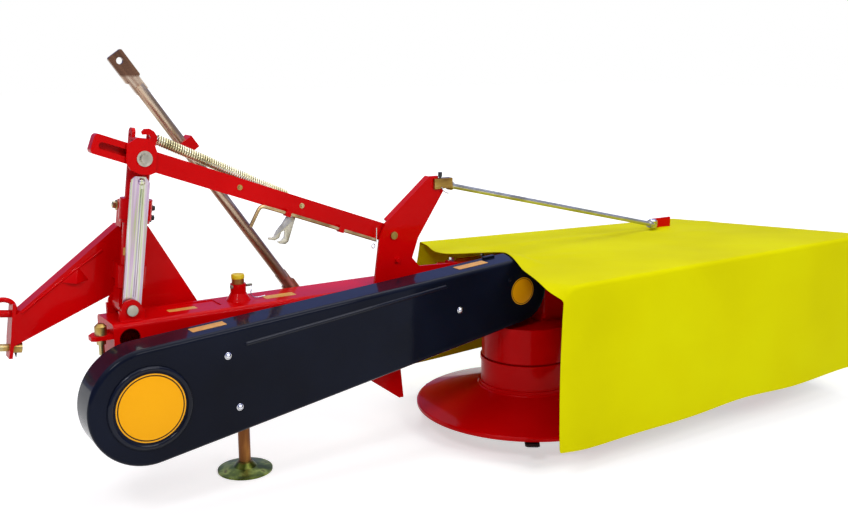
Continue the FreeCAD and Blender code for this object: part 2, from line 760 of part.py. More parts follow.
# ---------------------------------------------------------------- mast (built upright, then leaned)
def mast():
    x, y, z = hinge_x, mast_y, hinge_z
    tube_x = hinge_x + mast_offset
    near = ear_near_y + ear_thick + 25.0
    far = arm_far_y - ear_thick - 1.0 - side_gap
    barrel = across(x, z, near, far, barrel_radius)
    neck = box(x - barrel_radius, tube_x + barrel_radius, y - 30.0, y + 30.0, z, z + 52.0)
    shell = rod(V(tube_x, y, z + 44.0), V(tube_x, y, z + mast_top), mast_radius)
    core = rod(V(tube_x, y, z + 60.0), V(tube_x, y, z + mast_top - 12.0), mast_radius - mast_wall)
    shoulders = [rod(V(tube_x, y, z + up - 9.0), V(tube_x, y, z + up - free_gap), mast_radius + 9.0)
                 for up in (low_shoulder_up, high_shoulder_up)]
    half = lug_gap / 2.0 + lug_thick
    pad = box(tube_x - half, tube_x + half, y - 30.0, y + 30.0, z + mast_top, z + mast_top + 14.0)
    lugs = []
    for side, lower in ((-half, 0.0), (half - lug_thick, right_lug_lower)):
        top = z + lug_top - lower
        lug = box(tube_x + side, tube_x + side + lug_thick, y - lug_half_depth, y + lug_half_depth,
                  z + mast_top + 13.0, top)
        lugs.append(round_edges(lug, 14.0, lambda e: is_along(e, SIDE) and e.BoundBox.ZMin > top - 1.0))
    body = fuse([barrel, neck, shell] + shoulders + [pad] + lugs + head_cheek(tube_x - half))
    body = body.cut(core)
    body = body.cut(across(x, z, near - 1.0, far + 1.0, hinge_bolt_radius + run_gap))
    pin_y = head_cheek_near()
    body = body.cut(across(x, z + top_pin_up, pin_y - 1.0, pin_y + head_cheek_thick + 1.0, top_pin_radius))
    hole_start = V(tube_x - half - 2.0, y, z + lug_top - 26.0)
    return leaned(body.cut(Part.makeCylinder(top_link_radius, 2.0 * half + 4.0, hole_start, SIDE)))


def head_cheek_near():
    return bar_near_y - cheek_gap - head_cheek_thick


def head_cheek(lug_x):
    """The plate in front of the top bar, held over it by an arm from the left lug."""
    x, z = hinge_x, hinge_z + top_pin_up
    y0 = head_cheek_near()
    outline = [(-52.0, 36.0), (-50.0, -16.0), (-37.0, -34.0), (-10.0, -44.0), (20.0, -44.0), (34.0, -37.0),
               (34.0, 22.0), (24.0, 46.0), (16.0, 51.0), (-22.0, 57.0)]
    cheek = plate_xz([(x + a, z + b) for a, b in outline], y0, y0 + head_cheek_thick)
    over = box(x - 22.0, x + 15.0, y0 + head_cheek_thick - 1.0, bar_near_y + bar_thick + 10.0,
               z + 47.0, z + 55.0)
    arm = box(x - 22.0, lug_x + lug_thick, bar_near_y + bar_thick, mast_y - 10.0, z + 47.0, z + 55.0)
    return [cheek, over, arm]


def mast_pin():
    """The slot pin: it stands out of the near cheek into the bar's slot."""
    x, z = hinge_x, hinge_z + top_pin_up
    y0 = head_cheek_near()
    shank = across(x, z, y0, bar_near_y + slot_depth - 3.0, top_pin_radius)
    washer = across(x, z, y0 - 3.0, y0, 22.0)
    head = across(x, z, y0 - 12.0, y0 - 3.0, 13.0)
    return leaned(fuse([shank, washer, head]))


def mast_link():
    """A zinc-plated channel down the near side of the mast."""
    x, z = hinge_x + channel_shift, hinge_z
    near = ear_near_y + ear_thick + 4.0
    half = channel_half
    outline = [(x - half, z - 6.0), (x - half + 12.0, z - 22.0), (x + half - 12.0, z - 22.0),
               (x + half, z - 6.0), (x + half, z + 364.0), (x + half - 14.0, z + 380.0),
               (x - half + 10.0, z + 380.0), (x - half, z + 370.0)]
    web = plate_xz(outline, near, near + 4.0)
    flanges = [box(x + s, x + s + 4.0, near, near + 9.0, z + 30.0, z + 362.0) for s in (-half, half - 4.0)]
    feet = [across(hinge_x + mast_offset, z + up, near + 4.0, mast_y - mast_radius - free_gap, 9.0)
            for up in (150.0, 341.0)]
    body = fuse([web] + flanges + feet)
    return leaned(body.cut(across(hinge_x, z, near - 1.0, near + 6.0, hinge_bolt_radius + run_gap)))


# ---------------------------------------------------------------- headstock (built upright, then leaned)
def clevis_inner(side):
    """Inner face of a hitch clevis, beside the hinge axis."""
    return hitch_spacing / 2.0 + side * hitch_middle - hitch_gap / 2.0 - clevis_plate


def leg_outline(side):
    """Top and bottom corners of a leg's web, from the mast outwards."""
    inner = clevis_inner(side)
    if side < 0:
        return [(0.0, 20.0), (0.0, 222.0), (5.0, 222.0), (inner, -47.0), (inner, -138.0)]
    return [(0.0, 20.0), (0.0, 222.0), (84.0, 222.0), (inner, -109.0), (inner, -176.0)]


def leg_half(side):
    """One leg of the A-frame: a web plate with folded edges, and its hitch clevis."""
    x, z = hinge_x, hinge_z
    inner = clevis_inner(side)
    outer = inner + 2.0 * clevis_plate + hitch_gap
    y0, y1 = head_near_y, head_near_y + head_depth
    mid_y = (y0 + y1) / 2.0
    outline = leg_outline(side)

    def pts(pairs):
        return [(x + side * a, z + b) for a, b in pairs]

    def strip(start, end, drop):
        """A folded edge along one side of the web."""
        (a0, b0), (a1, b1) = start, end
        return plate_xz(pts([start, end, (a1, b1 + drop), (a0, b0 + drop)]), y0, y1)

    web = plate_xz(pts(outline), y0, y0 + head_plate)
    top = strip(outline[2], outline[3], -11.0)
    cap = strip(outline[1], outline[2], -11.0)
    low = strip(outline[0], outline[4], 10.0)
    plates = []
    high = clevis_top_left if side < 0 else clevis_top_right
    for a in (inner, inner + clevis_plate + hitch_gap):
        pts_yz = [(y0, high), (y1, high), (y1 + 6.0, -120.0), (y1 - 4.0, -176.0), (y0 + 6.0, -176.0),
                  (y0 - 4.0, -120.0)]
        ring = [V(x + side * a, p, z + q) for p, q in pts_yz]
        plates.append(Part.Face(Part.makePolygon(ring + ring[:1])).extrude(V(side * clevis_plate, 0, 0)))
    bridge_z = z + high - 32.0
    bridge = rod(V(x + side * inner, mid_y, bridge_z), V(x + side * outer, mid_y, bridge_z), 11.0)
    pin_z = z + hitch_pin_up
    room = rod(V(x + side * (inner - pin_collar_long - 4.0), mid_y, pin_z), V(x + side * inner, mid_y, pin_z),
               pin_collar_radius + 2.0)
    leg = fuse([fuse([web, top, cap, low]).cut(room), bridge] + plates)
    bore = rod(V(x + side * (inner - 1.0), mid_y, pin_z), V(x + side * (outer + 1.0), mid_y, pin_z),
               hitch_pin_radius + run_gap)
    return leg.cut(bore)


def headstock_frame():
    return leaned(fuse([leg_half(-1.0), leg_half(1.0)]))


def headstock_collars():
    x, y, z = hinge_x + mast_offset, mast_y, hinge_z
    low, high = low_shoulder_up, high_shoulder_up
    rings = [rod(V(x, y, z + high), V(x, y, z + high + 60.0), collar_radius),
             rod(V(x, y, z + low), V(x, y, z + low + 56.0), low_collar_radius)]
    plate_y = head_near_y
    arms = [box(x - 28.0, x + 28.0, y + 38.0, plate_y, z + 222.0, z + high + 48.0),
            box(x - 28.0, x + 28.0, y + 38.0, head_near_y, z + low + 4.0, z + low + 52.0)]
    body = fuse(rings + arms)
    body = body.cut(rod(V(x, y, z + 20.0), V(x, y, z + 340.0), mast_radius + free_gap))
    return leaned(body.cut(rod(V(x, y, z + high - 16.0), V(x, y, z + high), mast_radius + 10.0)))


def hitch_pin(side):
    x, z = hinge_x, hinge_z + hitch_pin_up
    inner = clevis_inner(side)
    outer = inner + 2.0 * clevis_plate + hitch_gap
    mid_y = head_near_y + head_depth / 2.0
    shank = rod(V(x + side * (inner - 12.0), mid_y, z), V(x + side * (outer + 26.0), mid_y, z),
                hitch_pin_radius)
    collar = rod(V(x + side * (inner - pin_collar_long), mid_y, z),
                 V(x + side * (inner - free_gap), mid_y, z), pin_collar_radius)
    return leaned(fuse([shank, collar]))


# ---------------------------------------------------------------- top bar
def bar_ends():
    """Slot pin centre at rest and the bar's pivot, on one straight line."""
    return mast_point(0.0, top_pin_up)


def bar_pivot():
    return bar_pivot_x, bar_pivot_z


def bar_frame():
    """Distance from the bar's pivot to the slot pin, and the bar's slope in degrees."""
    px, pz = bar_pivot()
    sx, sz = bar_ends()
    return math.hypot(sx - px, sz - pz), math.degrees(math.atan2(sz - pz, px - sx))


def spring_claw(reach):
    """The hooked plate on the bar that holds the spring's left end."""
    outline = [(8.0, 26.0), (30.0, 26.0), (30.0, 60.0), (26.0, 72.0), (14.0, 82.0), (0.0, 85.0),
               (-14.0, 80.0), (-19.0, 70.0), (-14.0, 63.0), (-6.0, 66.0), (4.0, 68.0), (10.0, 62.0),
               (11.0, 50.0)]
    mid_y = bar_near_y + spring_behind
    return plate_xz([(a - reach, b) for a, b in outline], mid_y - claw_thick / 2.0, mid_y + claw_thick / 2.0)


def top_bar():
    reach, angle = bar_frame()
    y0, y1 = bar_near_y, bar_near_y + bar_thick
    half = bar_depth / 2.0
    slot_half = slot_width / 2.0
    left = reach + slot_length + slot_half + slot_end_wall
    body = box(-left, 0.0, y0, y1, -half, half)
    body = round_edges(body, bar_end_round, lambda e: is_along(e, FWD) and e.BoundBox.XMax < 1.0 - left)
    body = body.fuse(across(0.0, 0.0, y0, y1, half))
    slot = box(-reach - slot_length, -reach, y0 - 1.0, y0 + slot_depth, -slot_half, slot_half)
    slot = slot.fuse(across(-reach - slot_length, 0.0, y0 - 1.0, y0 + slot_depth, slot_half))
    body = body.cut(slot.fuse(across(-reach, 0.0, y0 - 1.0, y0 + slot_depth, slot_half)))
    trough = box(trough_start - reach, trough_end - reach, y0 + bar_web, y1 + 1.0, bar_web - half, half + 1.0)
    body = body.cut(trough)
    rod_y, rod_z = y0 - 8.0, -half - latch_rod_drop
    clips = [box(a - 9.0, a + 9.0, y0 - 17.0, y0, rod_z - 9.0, rod_z + 11.0) for a in latch_clip_at]
    body = fuse([body, spring_claw(reach)] + clips)
    body = body.cut(across(0.0, 0.0, y0 - 1.0, y1 + 1.0, bar_pin_radius + run_gap))
    body = body.cut(rod(V(-500.0, rod_y, rod_z), V(0.0, rod_y, rod_z), latch_rod_radius + 0.2))
    return to_bar(body, angle)


def to_bar(shape, angle):
    px, pz = bar_pivot()
    shape.rotate(V(0, 0, 0), FWD, angle)
    shape.translate(V(px, 0, pz))
    return shape


def relief_spring():
    reach, angle = bar_frame()
    half = bar_depth / 2.0
    y = bar_near_y + spring_behind
    start = V(spring_start - reach, y, half + spring_start_up)
    end = V(spring_end - reach, y, half + spring_end_up)
    coil = rod(start, end, spring_radius)
    hook0 = rod(V(30.0 + free_gap - reach, y, start.z), start, 5.0)
    hook1 = rod(end, V(trough_end - free_gap - reach, y, end.z), 5.0)
    return to_bar(fuse([coil, hook0, hook1]), angle)


def latch_rod():
    angle = bar_frame()[1]
    y0 = bar_near_y - 8.0
    z0 = -bar_depth / 2.0 - latch_rod_drop
    run = rod(V(latch_left, y0, z0), V(latch_right, y0, z0), latch_rod_radius)
    bend = Part.makeSphere(latch_rod_radius, V(latch_left, y0, z0))
    handle = rod(V(latch_left, y0, z0), V(latch_left - 20.0, y0, z0 - 66.0), latch_rod_radius)
    return to_bar(fuse([run, bend, handle]), angle)


def latch_fork():
    y = bar_near_y + 12.0
    outline = [(0.0, 0.0), (28.0, -10.0), (24.0, -30.0), (8.0, -100.0), (-5.0, -104.0), (-1.0, -50.0),
               (-49.0, -91.0), (-58.0, -82.0), (-9.0, -30.0)]
    fork = plate_xz([(fork_x + a, fork_z + b) for a, b in outline], y, y + 5.0)
    return fork.cut(top_bar())


# ---------------------------------------------------------------- stay rod
def stay_flat(base, way, along0, along1, half_wide, thick):
    """A flattened stretch of the stay rod, from along0 to along1 beyond its end hole."""
    side = V(way.z, 0, -way.x) * half_wide
    near, far = base + way * along0, base + way * along1
    ring = [near + side, far + side, far - side, near - side]
    flat = plate_xz([(p.x, p.z) for p in ring], stay_y - thick / 2.0, stay_y + thick / 2.0)
    return flat


def stay_rod():
    low = V(stay_x, stay_y, stay_z)
    top = V(stay_top_x, stay_y, stay_top_z)
    way = (top - low).normalize()
    length = (top - low).Length
    y0, y1 = stay_y - stay_flat_thick / 2.0 - 1.0, stay_y + stay_flat_thick / 2.0 + 1.0
    pipe = rod(low + way * (stay_flat_long + 20.0), low + way * (length - stay_flat_long - 20.0), stay_radius)
    pieces = [pipe]
    for base, heading in ((low, way), (top, way * -1.0)):
        plate = stay_flat(base, heading, -stay_eye_end, stay_flat_long, stay_flat_half, stay_flat_thick)
        plate = round_edges(plate, 6.0, lambda e: is_along(e, FWD))
        neck = stay_flat(base, heading, stay_flat_long - 8.0, stay_flat_long + 42.0, stay_radius + 1.0,
                         stay_flat_thick + 4.0)
        pieces += [plate, neck]
    body = fuse(pieces)
    body = body.cut(across(low.x, low.z, y0 - 2.0, y1 + 2.0, stay_bolt_radius + run_gap))
    return body.cut(across(top.x, top.z, y0 - 2.0, y1 + 2.0, stay_top_hole))


def stay_collar():
    low = V(stay_x, stay_y, stay_z)
    way = (V(stay_top_x, stay_y, stay_top_z) - low).normalize()
    tilt = math.degrees(math.atan2(-way.x, way.z))
    block = box(stay_collar_aside - stay_collar_half, stay_collar_aside + stay_collar_half, -26.0, 26.0,
                stay_collar_at, stay_collar_at + stay_collar_long)
    block = block.cut(rod(V(0, 0, stay_collar_at - 50.0), V(0, 0, stay_collar_at + 80.0), stay_radius + 0.2))
    block.rotate(V(0, 0, 0), FWD, -tilt)
    block.translate(low)
    return block


# ---------------------------------------------------------------- stand
def stand_leg():
    leg = rod(V(stand_x, stand_y, 4.0), V(stand_x, stand_y, stand_top_z), stand_radius)
    bore = rod(V(stand_x, stand_y, 40.0), V(stand_x, stand_y, stand_top_z - 6.0), stand_radius - 4.0)
    foot = turned([(0.0, 0.0), (foot_radius, 0.0), (foot_radius, 5.0), (stand_radius + 18.0, 14.0),
                   (stand_radius + 4.0, 30.0), (0.0, 30.0)], stand_x, stand_y)
    return fuse([leg, foot]).cut(bore)


def main():
    for name, x, first in (("inner", 0.0, knife_first_deg), ("outer", drum_spacing, 360.0 - knife_first_deg)):
        save(name + "_drum", rotor(x))
        save(name + "_knives", *knives(x, first))
        save(name + "_skid", skid(x))
        save(name + "_drum_collar", drum_collar(x))
    save("main_arm", main_arm())
    save("stand_sleeve", stand_sleeve())
    save("mast_hinge_bolt", hinge_bolt())
    save("stay_bolt", stay_bolt())
    save("belt_guard", belt_guard())
    save("guard_back_plate", guard_back_plate())
    save("gearcase", gearcase())
    save("gear_beam", gear_beam())
    save("outer_gearcase", outer_case())
    save("input_housing", input_housing())
    save("input_shaft", input_shaft())
    save("tension_bolt", tension_bolt())
    save("upright_bracket", upright_bracket())
    save("bar_bolt", bar_bolt())
    save("keel_plate", keel_plate())
    save("hood_cloth", hood_cloth())
    save("hood_frame", hood_frame())
    save("hood_brace", brace())
    save("brace_knob", brace_knob())
    save("mast", mast())
    save("mast_top_pin", mast_pin())
    save("mast_link", mast_link())
    save("headstock_frame", headstock_frame())
    save("headstock_collars", headstock_collars())
    save("hitch_pins", hitch_pin(-1.0), hitch_pin(1.0))
    save("top_bar", top_bar())
    save("relief_spring", relief_spring())
    save("latch_rod", latch_rod())
    save("latch_fork", latch_fork())
    save("stay_rod", stay_rod())
    save("stay_collar", stay_collar())
    save("stand_leg", stand_leg())


main()
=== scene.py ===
# %% [markdown]
# # A drum mower, dressed
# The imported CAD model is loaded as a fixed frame: every casting, plate and drum already has its true
# shape and place. This lesson gives those parts their real finishes, hangs the yellow cloth over the
# hood frame, winds the spring, and adds the small hardware that a machine of this kind carries.

# %% Load the frame
import json
import math

import bpy
from mathutils import Matrix, Vector


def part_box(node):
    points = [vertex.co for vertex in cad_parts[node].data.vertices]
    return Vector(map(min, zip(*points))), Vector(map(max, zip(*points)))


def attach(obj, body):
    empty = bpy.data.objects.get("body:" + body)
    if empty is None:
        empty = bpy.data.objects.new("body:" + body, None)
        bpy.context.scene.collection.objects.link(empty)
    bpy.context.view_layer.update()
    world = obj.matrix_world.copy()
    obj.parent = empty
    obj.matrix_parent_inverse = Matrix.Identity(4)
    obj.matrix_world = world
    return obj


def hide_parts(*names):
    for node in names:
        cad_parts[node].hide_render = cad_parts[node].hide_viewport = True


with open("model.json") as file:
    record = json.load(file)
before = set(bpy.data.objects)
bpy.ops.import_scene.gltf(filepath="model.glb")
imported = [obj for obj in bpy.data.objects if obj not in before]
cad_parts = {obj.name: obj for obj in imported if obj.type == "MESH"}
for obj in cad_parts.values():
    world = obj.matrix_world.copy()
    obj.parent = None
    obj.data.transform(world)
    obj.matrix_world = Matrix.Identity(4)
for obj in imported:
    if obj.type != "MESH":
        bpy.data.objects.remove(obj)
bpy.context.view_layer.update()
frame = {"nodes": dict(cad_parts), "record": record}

nodes = frame["nodes"]
print("nodes in the frame:", len(nodes))

# %% [markdown]
# Blender's edit operators act on everything that is selected, and a loaded model arrives selected.
# So the first helper clears the selection, and the second selects just the pieces that are worked on.
# The third writes a piece's place, turn and scale into its mesh, because the frame keeps all objects
# at the origin.

# %% Selecting and settling
def deselect_all():
    if bpy.context.object and bpy.context.object.mode != "OBJECT":
        bpy.ops.object.mode_set(mode="OBJECT")
    bpy.ops.object.select_all(action="DESELECT")


def pick(*pieces):
    deselect_all()
    for piece in pieces:
        piece.select_set(True)
    bpy.context.view_layer.objects.active = pieces[0]


def settle(piece):
    pick(piece)
    bpy.ops.object.transform_apply(location=True, rotation=True, scale=True)
    return piece


def named(name):
    piece = bpy.context.active_object
    piece.name = name
    piece.data.name = name
    return piece


deselect_all()
print("selected now:", len(bpy.context.selected_objects))

# %% [markdown]
# A finished piece says two things: what it is made of, and which body of the machine carries it. One
# helper does both. Two more apply a modifier and turn the faces of a closed shell outwards.

# %% Placing and finishing a piece
def fit(piece, material, body, smooth_deg=35.0):
    settle(piece)
    piece.data.materials.clear()
    piece.data.materials.append(material)
    bpy.ops.object.shade_smooth_by_angle(angle=math.radians(smooth_deg))
    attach(piece, body)
    print(f"{piece.name}: {len(piece.data.polygons)} faces on {body}")


def fit_all(pieces, material, body, smooth_deg=35.0):
    for piece in pieces:
        fit(piece, material, body, smooth_deg)


def use_modifier(piece, kind, **settings):
    """Adds one modifier, sets it and applies it."""
    pick(piece)
    modifier = piece.modifiers.new(kind.title(), kind)
    for key, value in settings.items():
        setattr(modifier, key, value)
    bpy.ops.object.modifier_apply(modifier=modifier.name)


def close_up(piece):
    """Makes the faces of a finished shell point outwards."""
    pick(piece)
    bpy.ops.object.mode_set(mode="EDIT")
    bpy.ops.mesh.select_all(action="SELECT")
    bpy.ops.mesh.normals_make_consistent(inside=False)
    bpy.ops.object.mode_set(mode="OBJECT")
    return piece


# %% [markdown]
# Finishes are built from nodes. Colours are written as sRGB hex, the way a paint maker lists them,
# and one function turns them to the linear values that Blender works in. A second function adds a
# node with its settings and its links in a single call.

# %% Colours and nodes
def paint(hex_code):
    channels = [int(hex_code[i:i + 2], 16) / 255.0 for i in (1, 3, 5)]
    linear = [c / 12.92 if c <= 0.04045 else ((c + 0.055) / 1.055) ** 2.4 for c in channels]
    return (*linear, 1.0)


def add_node(tree, kind, inputs=None, **settings):
    node = tree.nodes.new(kind)
    for key, value in settings.items():
        setattr(node, key, value)
    for key, value in (inputs or {}).items():
        if isinstance(value, bpy.types.NodeSocket):
            tree.links.new(value, node.inputs[key])
        else:
            node.inputs[key].default_value = value
    return node


def new_finish(name):
    """A new material with its shader, and the object coordinates that its patterns read."""
    material = bpy.data.materials.new(name)
    material.use_nodes = True
    tree = material.node_tree
    shader = tree.nodes["Principled BSDF"]
    place = add_node(tree, "ShaderNodeTexCoord").outputs["Object"]
    return material, tree, shader, place


def ramp(tree, factor, stops):
    """Turns a value into a colour, by a list of (value, colour) stops."""
    node = add_node(tree, "ShaderNodeValToRGB", {"Fac": factor})
    elements = node.color_ramp.elements
    while len(elements) < len(stops):
        elements.new(0.5)
    for element, (position, hex_code) in zip(elements, stops):
        element.position = position
        element.color = paint(hex_code)
    return node.outputs["Color"]


print("the arm's red in linear values:", [round(v, 3) for v in paint("#C90104")[:3]])

# %% [markdown]
# ## Gloss enamel
# The arm, mast, drums and headstock are steel, shot-blasted and sprayed with a gloss enamel. Sprayed
# enamel is never quite flat: it dries with a faint orange peel about 3 mm across on slower waves of
# about 70 mm, and it is a little deeper in colour where it lies thicker. The belt guard has the same
# paint in a blue-black. A thin clear coat carries the gloss; a low index keeps the pale floor out of
# the faces. The guard's rolled rim and rib take a glossier copy of its paint, with a somewhat higher
# index, so that they catch a stronger highlight than the plain faces.

# %% Enamel
cloud_scale, wave_scale, peel_scale = 3.5, 14.0, 330.0
peel_share = 0.12
enamel_roughness, enamel_specular = 0.36, 0.02


def enamel(name, deep, main, light, coat, coat_ior=1.16):
    material, tree, shader, place = new_finish(name)
    cloud = add_node(tree, "ShaderNodeTexNoise",
                     {"Vector": place, "Scale": cloud_scale, "Detail": 3.0}).outputs["Fac"]
    colour = ramp(tree, cloud, [(0.30, deep), (0.50, main), (0.72, light)])
    tree.links.new(colour, shader.inputs["Base Color"])
    peel = add_node(tree, "ShaderNodeTexNoise",
                    {"Vector": place, "Scale": peel_scale, "Detail": 2.0}).outputs["Fac"]
    wave = add_node(tree, "ShaderNodeTexNoise",
                    {"Vector": place, "Scale": wave_scale, "Detail": 1.0}).outputs["Fac"]
    height = add_node(tree, "ShaderNodeMath", {0: peel, 1: peel_share, 2: wave},
                      operation="MULTIPLY_ADD").outputs[0]
    bump = add_node(tree, "ShaderNodeBump", {"Height": height, "Strength": 0.35, "Distance": 0.0012})
    tree.links.new(bump.outputs["Normal"], shader.inputs["Normal"])
    tree.links.new(bump.outputs["Normal"], shader.inputs["Coat Normal"])
    rough = add_node(tree, "ShaderNodeMapRange", {"Value": cloud, "To Min": enamel_roughness - 0.04,
                                                  "To Max": enamel_roughness + 0.05}).outputs["Result"]
    tree.links.new(rough, shader.inputs["Roughness"])
    shader.inputs["Specular IOR Level"].default_value = enamel_specular
    shader.inputs["Coat Weight"].default_value = coat
    shader.inputs["Coat Roughness"].default_value = 0.04
    shader.inputs["Coat IOR"].default_value = coat_ior
    return material


blue_black = ("#090C18", "#0C101E", "#101525")
red_enamel = enamel("red_gloss_enamel", "#BE0002", "#C90104", "#D00306", coat=0.55)
guard_enamel = enamel("blue_black_gloss_enamel", *blue_black, coat=0.85)
# A glossier copy of the guard's paint, with a higher coat index: it gives the guard's rim and rib a stronger
# highlight than the same paint would.
rim_highlight_enamel = enamel("pressed_rim_highlight_enamel", *blue_black, coat=0.90, coat_ior=1.27)
print("enamels:", red_enamel.name, guard_enamel.name, rim_highlight_enamel.name)

# %% [markdown]
# ## Plated steel
# Bolts, the channel, the spring and the latch are zinc plated. Clear zinc is a plain grey, warmed by
# handling; yellow passivated zinc shows a thin-film play of straw, rose and green in long soft patches.
# Both are metals, so their colour is in the reflection, and their roughness breaks it up. Rolled and
# drawn parts show the patches drawn out along their length, so the pattern is turned to lie that way.

# %% Zinc plate
def drawn_out(tree, place, stretch, lean_deg):
    """Coordinates that draw a pattern out; lean_deg turns it to run along a leaning part."""
    turn = (0.0, math.radians(lean_deg), 0.0)
    along = add_node(tree, "ShaderNodeMapping", {"Vector": place, "Rotation": turn}).outputs["Vector"]
    return add_node(tree, "ShaderNodeMapping", {"Vector": along, "Scale": stretch}).outputs["Vector"]


def plated(name, stops, roughness, stretch, lean_deg=0.0, metallic=1.0):
    """Long soft patches of film colour on zinc."""
    material, tree, shader, place = new_finish(name)
    drawn = drawn_out(tree, place, stretch, lean_deg)
    film = add_node(tree, "ShaderNodeTexNoise", {"Vector": drawn, "Scale": 1.0, "Detail": 2.0,
                                                 "Roughness": 0.5}).outputs["Fac"]
    tree.links.new(ramp(tree, film, stops), shader.inputs["Base Color"])
    grain = add_node(tree, "ShaderNodeTexNoise",
                     {"Vector": place, "Scale": 260.0, "Detail": 3.0}).outputs["Fac"]
    bump = add_node(tree, "ShaderNodeBump", {"Height": grain, "Strength": 0.10, "Distance": 0.0004})
    tree.links.new(bump.outputs["Normal"], shader.inputs["Normal"])
    rough = add_node(tree, "ShaderNodeMapRange", {"Value": film, "To Min": roughness - 0.06,
                                                  "To Max": roughness + 0.08}).outputs["Result"]
    tree.links.new(rough, shader.inputs["Roughness"])
    shader.inputs["Metallic"].default_value = metallic
    return material


mast_lean_deg = 7.65
clear_zinc = plated("clear_zinc_plate",
                    [(0.32, "#8F8A7C"), (0.48, "#AFA996"), (0.62, "#C4BFAE"), (0.75, "#9C9072")],
                    0.34, (26.0, 26.0, 12.0))
yellow_zinc = plated("yellow_passivated_zinc",
                     [(0.32, "#8C6E34"), (0.46, "#A98C4C"), (0.58, "#B5A878"), (0.70, "#8E6A3C")],
                     0.36, (24.0, 24.0, 10.0))
channel_zinc = plated("iridescent_channel_zinc",
                      [(0.30, "#B9A7B4"), (0.40, "#D6CCD0"), (0.48, "#B6C08E"), (0.55, "#CFC9BC"),
                       (0.63, "#BBA0B8"), (0.72, "#A8B07A")],
                      0.36, (52.0, 52.0, 2.2), lean_deg=-mast_lean_deg)
spring_zinc = plated("yellow_spring_zinc", [(0.35, "#A89C6C"), (0.50, "#CFC59A"), (0.65, "#E0D8B4")],
                     0.30, (20.0, 20.0, 20.0), metallic=0.75)
latch_zinc = plated("brown_yellow_latch_zinc", [(0.34, "#8A6C40"), (0.50, "#B89A66"), (0.64, "#CDBB90")],
                    0.32, (18.0, 18.0, 8.0), lean_deg=-70.0, metallic=0.8)
print("plated finishes ready")

# %% [markdown]
# Three parts show two films. The stand's tube has turned brown from handling, while its foot keeps the
# green-yellow of the bath. The thin brace is pale, but its fork block is gold. The stay's tube is rosy,
# and its flattened upper eye is brown. One finish does each: two films are mixed by the place along one
# axis, and change over within 8 mm.

# %% Two films on one part
half_blend = 0.004


def two_films(name, first, second, axis, change, stretch, lean_deg=0.0):
    """Mixes two films along one axis; change is the place where the first gives way to the second."""
    material, tree, shader, place = new_finish(name)
    drawn = drawn_out(tree, place, stretch, lean_deg)
    film = add_node(tree, "ShaderNodeTexNoise",
                    {"Vector": drawn, "Scale": 1.0, "Detail": 3.0}).outputs["Fac"]
    along = add_node(tree, "ShaderNodeSeparateXYZ", {"Vector": place}).outputs[axis]
    share = add_node(tree, "ShaderNodeMapRange", {"Value": along, "From Min": change - half_blend,
                                                  "From Max": change + half_blend}).outputs["Result"]
    mix = add_node(tree, "ShaderNodeMix", data_type="RGBA")
    colour_in = {socket.name: socket for socket in mix.inputs if socket.type == "RGBA"}
    colour_out = next(socket for socket in mix.outputs if socket.type == "RGBA")
    tree.links.new(share, mix.inputs[0])
    tree.links.new(ramp(tree, film, first), colour_in["A"])
    tree.links.new(ramp(tree, film, second), colour_in["B"])
    tree.links.new(colour_out, shader.inputs["Base Color"])
    return material, shader


green_bath = [(0.36, "#3A440C"), (0.50, "#58661C"), (0.62, "#8A9440"), (0.72, "#54481A")]
brown_tube = [(0.34, "#522C14"), (0.50, "#7C4C24"), (0.64, "#A06C34")]
gold_block = [(0.34, "#6E5020"), (0.50, "#9A7A38"), (0.62, "#B4A468"), (0.74, "#7A7860")]
pale_tube = [(0.34, "#A8A492"), (0.50, "#CCCABC"), (0.64, "#B6B48E")]
rosy_tube = [(0.30, "#70523A"), (0.42, "#A0826A"), (0.52, "#C6B298"), (0.60, "#8E7656"), (0.72, "#A88E82")]
brown_eye = [(0.34, "#4E3424"), (0.50, "#6C4A34"), (0.66, "#866A4C")]
stand_zinc, stand_shader = two_films("brown_and_green_stand_zinc", green_bath, brown_tube,
                                     "Z", 0.030, (22.0, 22.0, 5.0))
brace_zinc, brace_shader = two_films("gold_and_pale_brace_zinc", gold_block, pale_tube,
                                     "X", -0.270, (6.0, 30.0, 30.0))
stay_zinc, stay_shader = two_films("rosy_and_brown_stay_zinc", rosy_tube, brown_eye,
                                   "Z", 1.241, (34.0, 34.0, 2.4), lean_deg=35.3)
for shader, metal, rough in ((stand_shader, 0.85, 0.40), (brace_shader, 0.85, 0.30),
                             (stay_shader, 0.70, 0.32)):
    shader.inputs["Metallic"].default_value = metal
    shader.inputs["Roughness"].default_value = rough
print("two-film finishes:", stand_zinc.name, brace_zinc.name, stay_zinc.name)

# %% [markdown]
# ## Bare and dark metals, and plastic
# The knives keep the black scale of forging, the skid dishes and the drive shaft are bare ground
# steel, and the knob and the small caps are moulded plastic. The labels are printed film, left blank.

# %% Bare steel, black steel and plastic
def worked_metal(name, dark, light, metallic, roughness, scale, bump_mm):
    material, tree, shader, place = new_finish(name)
    mark = add_node(tree, "ShaderNodeTexNoise", {"Vector": place, "Scale": scale, "Detail": 5.0,
                                                 "Roughness": 0.65}).outputs["Fac"]
    tree.links.new(ramp(tree, mark, [(0.35, dark), (0.66, light)]), shader.inputs["Base Color"])
    bump = add_node(tree, "ShaderNodeBump", {"Height": mark, "Strength": 0.5, "Distance": bump_mm / 1000.0})
    tree.links.new(bump.outputs["Normal"], shader.inputs["Normal"])
    shader.inputs["Metallic"].default_value = metallic
    shader.inputs["Roughness"].default_value = roughness
    return material


